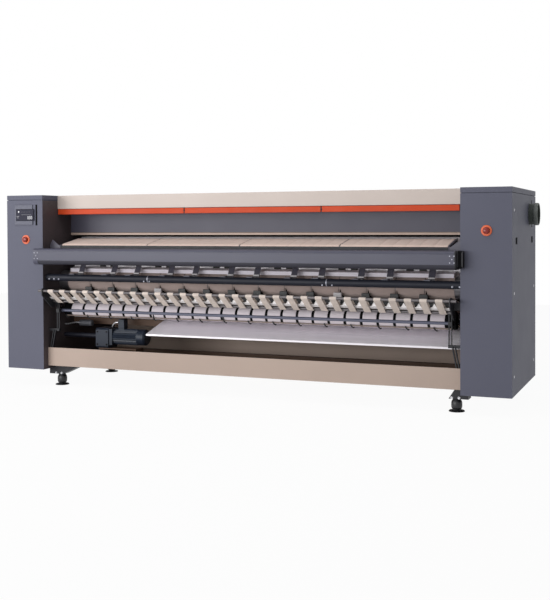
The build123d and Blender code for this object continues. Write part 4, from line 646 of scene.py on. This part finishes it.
def loop(circles, offset, step=14.0):
    """The line that a belt's middle follows round the circles, as (depth, height, slope).

    It runs an offset outside each circle, with a point for every step, and for every fourth
    on the straight runs."""
    circles = [(y, z, r + offset, s) for y, z, r, s in circles]
    count = len(circles)
    slopes = [tangent(circles[i], circles[(i + 1) % count]) for i in range(count)]
    path = []
    for i, (y, z, r, s) in enumerate(circles):
        start, end = slopes[i - 1], slopes[i]
        sweep = (s * (end - start)) % (2 * math.pi)
        parts = max(3, round(sweep * r / step))
        for k in range(parts + 1):
            a = start + s * sweep * k / parts
            path.append((y + s * r * math.sin(a), z - s * r * math.cos(a), a))
        y2, z2, r2, s2 = circles[(i + 1) % count]
        nxt = (y2 + s2 * r2 * math.sin(end), z2 - s2 * r2 * math.cos(end))
        run = math.hypot(nxt[0] - path[-1][0], nxt[1] - path[-1][1])
        parts = max(1, round(run / (step * 4)))
        y1, z1 = path[-1][:2]
        for k in range(1, parts):
            path.append((y1 + (nxt[0] - y1) * k / parts, z1 + (nxt[1] - z1) * k / parts, end))
    return path


# LAP is one turn of a belt's wander, GROOVE a seam's section as (across, lift)
LAP = 6.28
GROOVE = ((-24, 0), (-2.5, 0), (0, -1.1), (2.5, 0), (24, 0))


def belts(name, path, middles, width, thick, finish, node, wander=0.6,
          ripple=0.0, grooves=()):
    """Endless belts: each follows the path with rounded edges that wander a little.

    wander is how far a belt strays sideways, ripple how far its face rises and falls, and
    grooves are places across the belt where its outer face is drawn in along a seam."""
    corners, faces = [], []
    count = len(path)
    half, t = width / 2, thick / 2
    ring = [(-half + t * 0.6, t)]
    for groove in grooves:
        ring += [(groove + across, t + lift) for across, lift in GROOVE]
    ring += [(half - t * 0.6, t), (half, 0), (half - t * 0.6, -t), (-half + t * 0.6, -t), (-half, 0)]
    size = len(ring)
    for middle in middles:
        start = len(corners)
        phase = random.uniform(0, LAP)
        for k, (y, z, slope) in enumerate(path):
            sway = wander * (math.sin(phase + LAP * k / count * 3)
                             + 0.5 * math.sin(2 * phase + LAP * k / count * 7))
            for across, lift in ring:
                wave = math.sin(across * 0.045 + phase) * (1 - abs(across) / half * 0.3)
                rise = lift + ripple * 0.5 * wave
                corners.append(at(middle + across + sway, y + math.sin(slope) * rise,
                                  z - math.cos(slope) * rise))
        for k in range(count):
            a, b = start + k * size, start + ((k + 1) % count) * size
            for i in range(size):
                j = (i + 1) % size
                faces.append([a + i, b + i, b + j, a + j])
    made = piece(name, corners, faces, finish)
    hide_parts(node)


def spaced(count, pitch):
    """Places at an even pitch about the middle of the machine."""
    return [(i - (count - 1) / 2) * pitch for i in range(count)]


def around(centre, distance, angle):
    """The (depth, height) at a distance from a centre, at an angle in degrees from the rear."""
    turn = math.radians(angle)
    return centre[0] + distance * math.cos(turn), centre[1] + distance * math.sin(turn)


# Centres are (depth, height). The nip leaves room for the belt on the cylinder.
CYLINDER, CYLINDER_RADIUS = (600.0, 976.0), 250
TOP_RADIUS, PRESS_RADIUS, REAR_RADIUS = 60, 80, 45
NIP = 4
TOP = around(CYLINDER, CYLINDER_RADIUS + TOP_RADIUS + NIP, 113.5)
PRESS = around(CYLINDER, CYLINDER_RADIUS + PRESS_RADIUS + NIP, 205.2)
REAR_LOWER, TENSION = (925, 650), (945, 1300)
FEED_FRONT, FEED_RADIUS = (132.0, 1107.0), 25
FEED_REAR = around(FEED_FRONT, 217, 10.6)
TAPE_FRONT, TAPE_REAR, TAPE_RADIUS = (-73, 768), (60, 680), 10
EXIT_FRONT, EXIT_FRONT_RADIUS = (235, 603), 55
EXIT_REAR, EXIT_REAR_RADIUS = (500, 600), 45
IRONING_BELTS, IRONING_PITCH = 15, 210

ironing = loop([(*PRESS, PRESS_RADIUS, 1), (*REAR_LOWER, REAR_RADIUS, 1), (*TENSION, REAR_RADIUS, 1),
                (*TOP, TOP_RADIUS, 1), (*CYLINDER, CYLINDER_RADIUS, -1)], 1.9)
feeding = loop([(*FEED_FRONT, FEED_RADIUS, 1), (*FEED_REAR, FEED_RADIUS, 1)], 1.6, step=7)
taping = loop([(*TAPE_FRONT, TAPE_RADIUS, 1), (*TAPE_REAR, TAPE_RADIUS, 1)], 1.5, step=4)
leaving = loop([(*EXIT_FRONT, EXIT_FRONT_RADIUS, 1), (*EXIT_REAR, EXIT_REAR_RADIUS, 1)], 1.8,
               step=9)

belts("ironing_belt_loops", ironing, spaced(IRONING_BELTS, IRONING_PITCH), 206, 3,
      "ironing_felt", "ironing_belts",
      wander=0.5)
belts("feed_belt_loops", feeding, spaced(4, 779), 770, 2.5, "feed_canvas", "feed_belts",
      wander=0.4, ripple=0.5,
      grooves=spaced(7, 97))
belts("tape_loops", taping, spaced(30, 105.8), 50, 2.5, "tape_weave", "exit_tapes")
belts("exit_belt_loops", leaving, spaced(25, 122), 102, 3, "exit_weave", "exit_belts",
      wander=0.5)

# ---------------------------------------------------------------- controls

SCREEN_LEFT, SCREEN_RIGHT, SCREEN_BOTTOM, SCREEN_TOP = -1903.5, -1739.5, 1320.5, 1407.5
SCREEN_RIM = 3.5
DIGIT, DIGIT_PITCH = 25, 19
LIT = {"1": "bc", "8": "abcdefg", "0": "abcdef"}
STOPS = {"left": (-1818, 1169), "right": (1834, 1234)}


def digit_bars(left, bottom, number):
    """The lit bars of one seven-bar digit, as boxes."""
    wide, high, t = DIGIT * 0.55, DIGIT, DIGIT * 0.13
    bars = {
        "a": (0, high - t, wide, high), "b": (wide - t, high / 2, wide, high),
        "c": (wide - t, 0, wide, high / 2), "d": (0, 0, wide, t), "e": (0, 0, t, high / 2),
        "f": (0, high / 2, t, high), "g": (0, (high - t) / 2, wide, (high + t) / 2),
    }
    return [((left + bars[bar][0], -10.2, bottom + bars[bar][1]),
             (left + bars[bar][2], -9.4, bottom + bars[bar][3])) for bar in LIT[number]]


outer_left, outer_right = SCREEN_LEFT - SCREEN_RIM, SCREEN_RIGHT + SCREEN_RIM
outer_bottom, outer_top = SCREEN_BOTTOM - SCREEN_RIM, SCREEN_TOP + SCREEN_RIM
blocks("screen_glass_sheet", [((SCREEN_LEFT, -9.0, SCREEN_BOTTOM), (SCREEN_RIGHT, -7.8, SCREEN_TOP))],
       "screen_glass", bevel=0.3)
blocks("screen_frame", [
    ((outer_left, -9.2, outer_bottom), (SCREEN_LEFT, -8, outer_top)),
    ((SCREEN_RIGHT, -9.2, outer_bottom), (outer_right, -8, outer_top)),
    ((outer_left, -9.2, SCREEN_TOP), (outer_right, -8, outer_top)),
    ((outer_left, -9.2, outer_bottom), (outer_right, -8, SCREEN_BOTTOM)),
], "rubber")
# A thin black strip in the slot beside the control plate.
blocks("panel_slot_dark_strip", [((-1725.5, -0.8, 1281), (-1709.5, 6, 1446))], "rubber", bevel=0.3)
turned("lamp_dot", [(-1880, -9.6, 1390)], "y", [(0.4, 6), (-0.6, 6), (-1.0, 4)], "icon_white")

digits = []
for i, number in enumerate("180"):
    digits += digit_bars(-1804 + i * DIGIT_PITCH, 1331, number)
blocks("display_digits", digits, "icon_white", bevel=0)
icons = [((-1852 + i * 15, -10.0, 1384), (-1853 + i * 15, -9.4, 1393)) for i in range(6)]
icons += [((-1902, -10.0, 1352), (-1876, -9.4, 1357)), ((-1898, -10.0, 1340), (-1880, -9.4, 1344)),
          ((-1852, -10.0, 1366), (-1760, -9.4, 1368))]
blocks("display_icons", icons, "icon_grey", bevel=0)

# The stop buttons and collars carry painted light and shade in their colours: a lit orange and a
# shaded dark red.
button = [(-6, 12), (-11.5, 12), (-12, 19.5), (-13.5, 21.6), (-18, 22.4), (-22, 20.8), (-25.2, 16),
          (-27.2, 8.6), (-27.8, 0.3)]
for side, (place, height) in STOPS.items():
    cap = turned(f"stop_cap_{side}", [(place, 0, height)], "y", button, "button_plastic",
                 f"stop_button_{side}_body", 40)
    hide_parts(f"stop_button_{side}")
collar = [(0, 36), (-3.6, 36), (-5.4, 34.6), (-6, 32), (-6, 20), (-5, 17.5), (-2, 17), (-0.2, 17)]
collars = turned("stop_rings", [(place, 0, height) for place, height in STOPS.values()], "y",
                 collar, "collar_plastic", count=48)
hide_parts("stop_collars")

# ---------------------------------------------------------------- exhaust, feet, fixings

CABINET_SIDE, CABINET_BACK, NOSE_FRONT = 2000, 1080, -97
FOOT_PLACE, FOOT_FRONT, FOOT_REAR = 1601, 168, 911

# The duct's rim is lighter than the duct: painted light on its lit face.
rim = [(2034, 73.5), (2034, 77), (2037, 80), (2042, 81), (2058, 81), (2063, 80),
       (2064.5, 78), (2064.5, 74.5), (2058, 73.6), (2036, 73.4)]
turned("duct_rim", [(0, 782, 1347)], "x", rim, "duct_rim_painted_light", count=64,
       closed=True)

barrel = [(0, 55), (3, 55), (8, 50), (10, 40), (12, 26), (15, 26), (19, 33), (27, 37), (42, 38),
          (60, 37.5), (72, 34.5), (79, 29), (90, 26)]
feet = turned("foot_barrels", [(side * FOOT_PLACE, depth, 0) for side in (-1, 1)
                               for depth in (FOOT_FRONT, FOOT_REAR)],
              "z", barrel, "foot_plastic", count=40)
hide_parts("levelling_feet")

hex_bolts("bracket_bolts", [(side * (FOOT_PLACE + out), FOOT_FRONT - 45.2, 98) for side in (-1, 1)
                            for out in (-25, 25)], "y", -1, 13)
for name, side, radius in (("cabinet_screws", 1, 10), ("cabinet_screws_left", -1, 8)):
    pan_heads(name, [(side * CABINET_SIDE, depth, height) for depth in (87, 993)
                     for height in (1368, 818, 267)], "x", side, radius)
pan_heads("nose_screws", [(side * (middle + out), NOSE_FRONT, height)
                          for side, middle in ((-1, 1657), (1, 1626)) for out, height in
                          ((14, 1067), (14, 1022), (-15, 1067), (-15, 1022), (0, 1045))],
          "y", -1, 4.5, "dull_screw")
pan_heads("cover_screws", [(place, CABINET_BACK, height)
                           for place in (-1630, -570, -540, 540, 570, 1630)
                           for height in (190, 840, 1490)], "y", 1, 7)
hex_bolts("guard_bolts", [(-506, 205.4, 1390), (608, 205.4, 1390)], "y", -1, 9, "black_screw")

# ---------------------------------------------------------------- nose bar's ends

cap_outline = [(-0.5, 1100.4), (-78, 1100.4)]
cap_outline += [around((-78, 1081), 19.4, angle) for angle in range(105, 181, 15)]
cap_outline += [around((-66, 1006), 31.4, angle) for angle in range(180, 271, 15)]
cap_outline.append((-0.5, 974.6))
extruded("nose_end_cap", cap_outline, -1682.5, -1640.8, "nose_paint")
blocks("nose_end_block", [((1649.4, -62.5, 984.5), (1690.5, -7.5, 1100.4))], "rubber",
       bevel=11)

# ---------------------------------------------------------------- under the nose

LIP_END, SHEET_END, DRIP_END = 1670, 1566, 1562
PALE_GAP = 735
FINGER_RINGS = 9


def gap_shade_finger(corners, faces, middle):
    """A thin black tongue at a belt gap that tapers as it climbs round the belts on the press roller.
    Its black, widest low down, paints the shadow in the gap between the belts.
    """
    start = len(corners)
    for k in range(FINGER_RINGS):
        share = k / (FINGER_RINGS - 1)
        half = 17 * (1 - share) ** 1.2 + 1.0
        for radius in (PRESS_RADIUS + 4.2, PRESS_RADIUS + 7.0):
            depth, height = around(PRESS, radius, 262 - 68 * share)
            corners += [at(middle + side, depth, height) for side in (-half, half)]
    for k in range(FINGER_RINGS - 1):
        a, b = start + 4 * k, start + 4 * k + 4
        faces += [[a, a + 1, b + 1, b], [a + 2, b + 2, b + 3, a + 3],
                  [a, b, b + 2, a + 2], [a + 1, a + 3, b + 3, b + 1]]
    last = start + 4 * (FINGER_RINGS - 1)
    faces += [[start, start + 2, start + 3, start + 1], [last, last + 1, last + 3, last + 2]]


gaps = spaced(IRONING_BELTS - 1, IRONING_PITCH)
dark_shoes = [gap for gap in gaps if abs(gap) != PALE_GAP]
for name, places, finish in (("belt_shoes", dark_shoes, "guide_plastic"),
                             ("belt_shoes_pale", [-PALE_GAP, PALE_GAP], "guide_pale")):
    shoes = []
    for gap in places:
        shoes.append(((gap - 34, 196, 738), (gap + 28, 218, 790)))
        shoes.append(((gap - 22, 204, 708), (gap + 16, 224, 740)))
    blocks(name, shoes, finish, bevel=5)

# Black tongues at the gaps between the ironing belts, painting the gaps' shadow.
corners, faces = [], []
for gap in gaps:
    gap_shade_finger(corners, faces, gap + 12)
piece("belt_fingers_painted_gap_shade", corners, faces, "rubber")

arms = [middle + side * 149 for middle in spaced(6, 510) for side in (-1, 1)]
blocks("arm_foot_tabs", [((arm - 24, 175, 882), (arm + 24, 179.5, 910)) for arm in arms],
       "guide_pale", "stripper", bevel=1)
hex_bolts("tube_bolts", [(place, 34, 857) for place in (-1622, -1578, -1534, 1600, 1650)], "y", -1,
          9, "dull_screw", "stripper")
turned("tube_joints", [(-740, 60, 868), (701, 60, 868)], "x",
       [(0, 26.8), (0, 28), (7, 28), (7, 26.8)], "dull_screw", "stripper", 40)
hex_bolts("joint_bolts", [(place, 33.5, 851) for place in (-764, -716, 677, 749)], "y", -1,
          8, "dull_screw", "stripper")

# The sheet that lifts the linen off the cylinder, above the press roller. Its pale lilac colour is
# painted reflection of the polished cylinder.
extruded("release_sheet", [(244, 905), (245.4, 905), (245.4, 931.4), (312, 945), (312, 946.4),
                           (244, 932.8)], -SHEET_END, SHEET_END, "release_sheet")

# The hem of the feed lip, in a lighter paint that is a painted highlight, and a black strip under the
# lip's tip that paints the shade of the feed opening
blocks("feed_lip_hem", [((-LIP_END, 391.4, 1202), (LIP_END, 392.8, 1218))], "lip_edge_painted_highlight", bevel=0.3)
blocks("feed_gap_painted_shade", [((-LIP_END, 424, 1187), (LIP_END, 429, 1202.5))], "rubber", bevel=0.3)

# The bar under the exit belts, with the hooks below it. The bar's brown is the colour of the belts in
# shade, painted shade. Two of the hooks reach up higher
extruded("drip_bar_painted_shade", [(184, 553), (194, 553), (194, 563), (184, 563)], -DRIP_END, DRIP_END,
         "drip_bar_painted_shade", bevel=1.5)
hooks = []
for k in range(-8, 8):
    place = 44 + 200.6 * k
    top = 588 if k in (-4, -1) else 566
    hooks.append([(place - 10, 181, top), (place - 5, 181, 556), (place + 4, 181, 547),
                  (place + 12, 183, 543), (place + 18, 185, 546)])
tube_along("exit_hooks", hooks, 5.0, "hook_wire")

# ---------------------------------------------------------------- hand slots, and a dark strip behind the duct

SLOT_DEPTHS, SLOT_BOTTOM, SLOT_TOP = (175, 892), 1140, 1186
OUTSIDE = (CABINET_SIDE - 0.4, CABINET_SIDE + 0.9)

cups, lips = [], []
for depth in SLOT_DEPTHS:
    for low, high in (((-36, SLOT_BOTTOM), (-15.5, SLOT_TOP)), ((15.5, SLOT_BOTTOM), (36, SLOT_TOP)),
                      ((-16, SLOT_BOTTOM), (16, 1143.6)), ((-16, 1182.6), (16, SLOT_TOP))):
        lips.append(((OUTSIDE[0], depth + low[0], low[1]), (OUTSIDE[1], depth + high[0], high[1])))
for side in (-1, 1):
    for depth in SLOT_DEPTHS:
        inside = side * (CABINET_SIDE - 10)
        cups.append(((inside - 1, depth - 24, 1136), (inside + 1, depth + 24, 1190)))
blocks("hand_slot_cups", cups, "rubber", bevel=0.3)
blocks("hand_slot_lips", lips, "rubber", bevel=0.3)
# A thin black strip on the cabinet's side, just behind the duct.
blocks("dark_strip_behind_duct", [((OUTSIDE[0], 862, 1253), (CABINET_SIDE + 0.8, 892, 1449))], "rubber",
       bevel=0.3)

# ---------------------------------------------------------------- drive bay

COUPLING_LEFT = -1511
RIBS, RIB_PITCH = 14, 8

tube_along("steam_pipe", [[(-1662, 300, 474), (-1620, 300, 478), (-1580, 300, 486),
                           (-1548, 300, 490), (COUPLING_LEFT, 300, 490)]], 7, "screw_steel")
ribbed = [(0, 20)]
for start in range(0, RIBS * RIB_PITCH, RIB_PITCH):
    ribbed += [(start + 1, 26), (start + 5, 26), (start + 6, 23), (start + RIB_PITCH, 23)]
ribbed.append((RIBS * RIB_PITCH + 2, 20))
turned("drive_coupling", [(COUPLING_LEFT, 300, 489)], "x", ribbed, "coupling_grey", count=36)
hex_bolts("gearbox_bolts", [(place, 225, height) for place in (-1306, -1221)
                            for height in (330, 430)], "y", -1, 10, "black_screw")
tube_along("motor_conduit", [[(-1196, 276, 470), (-1178, 270, 492), (-1160, 268, 503),
                              (-1136, 268, 505)]], 6, "screw_steel")

camera()
studio()

low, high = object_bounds()
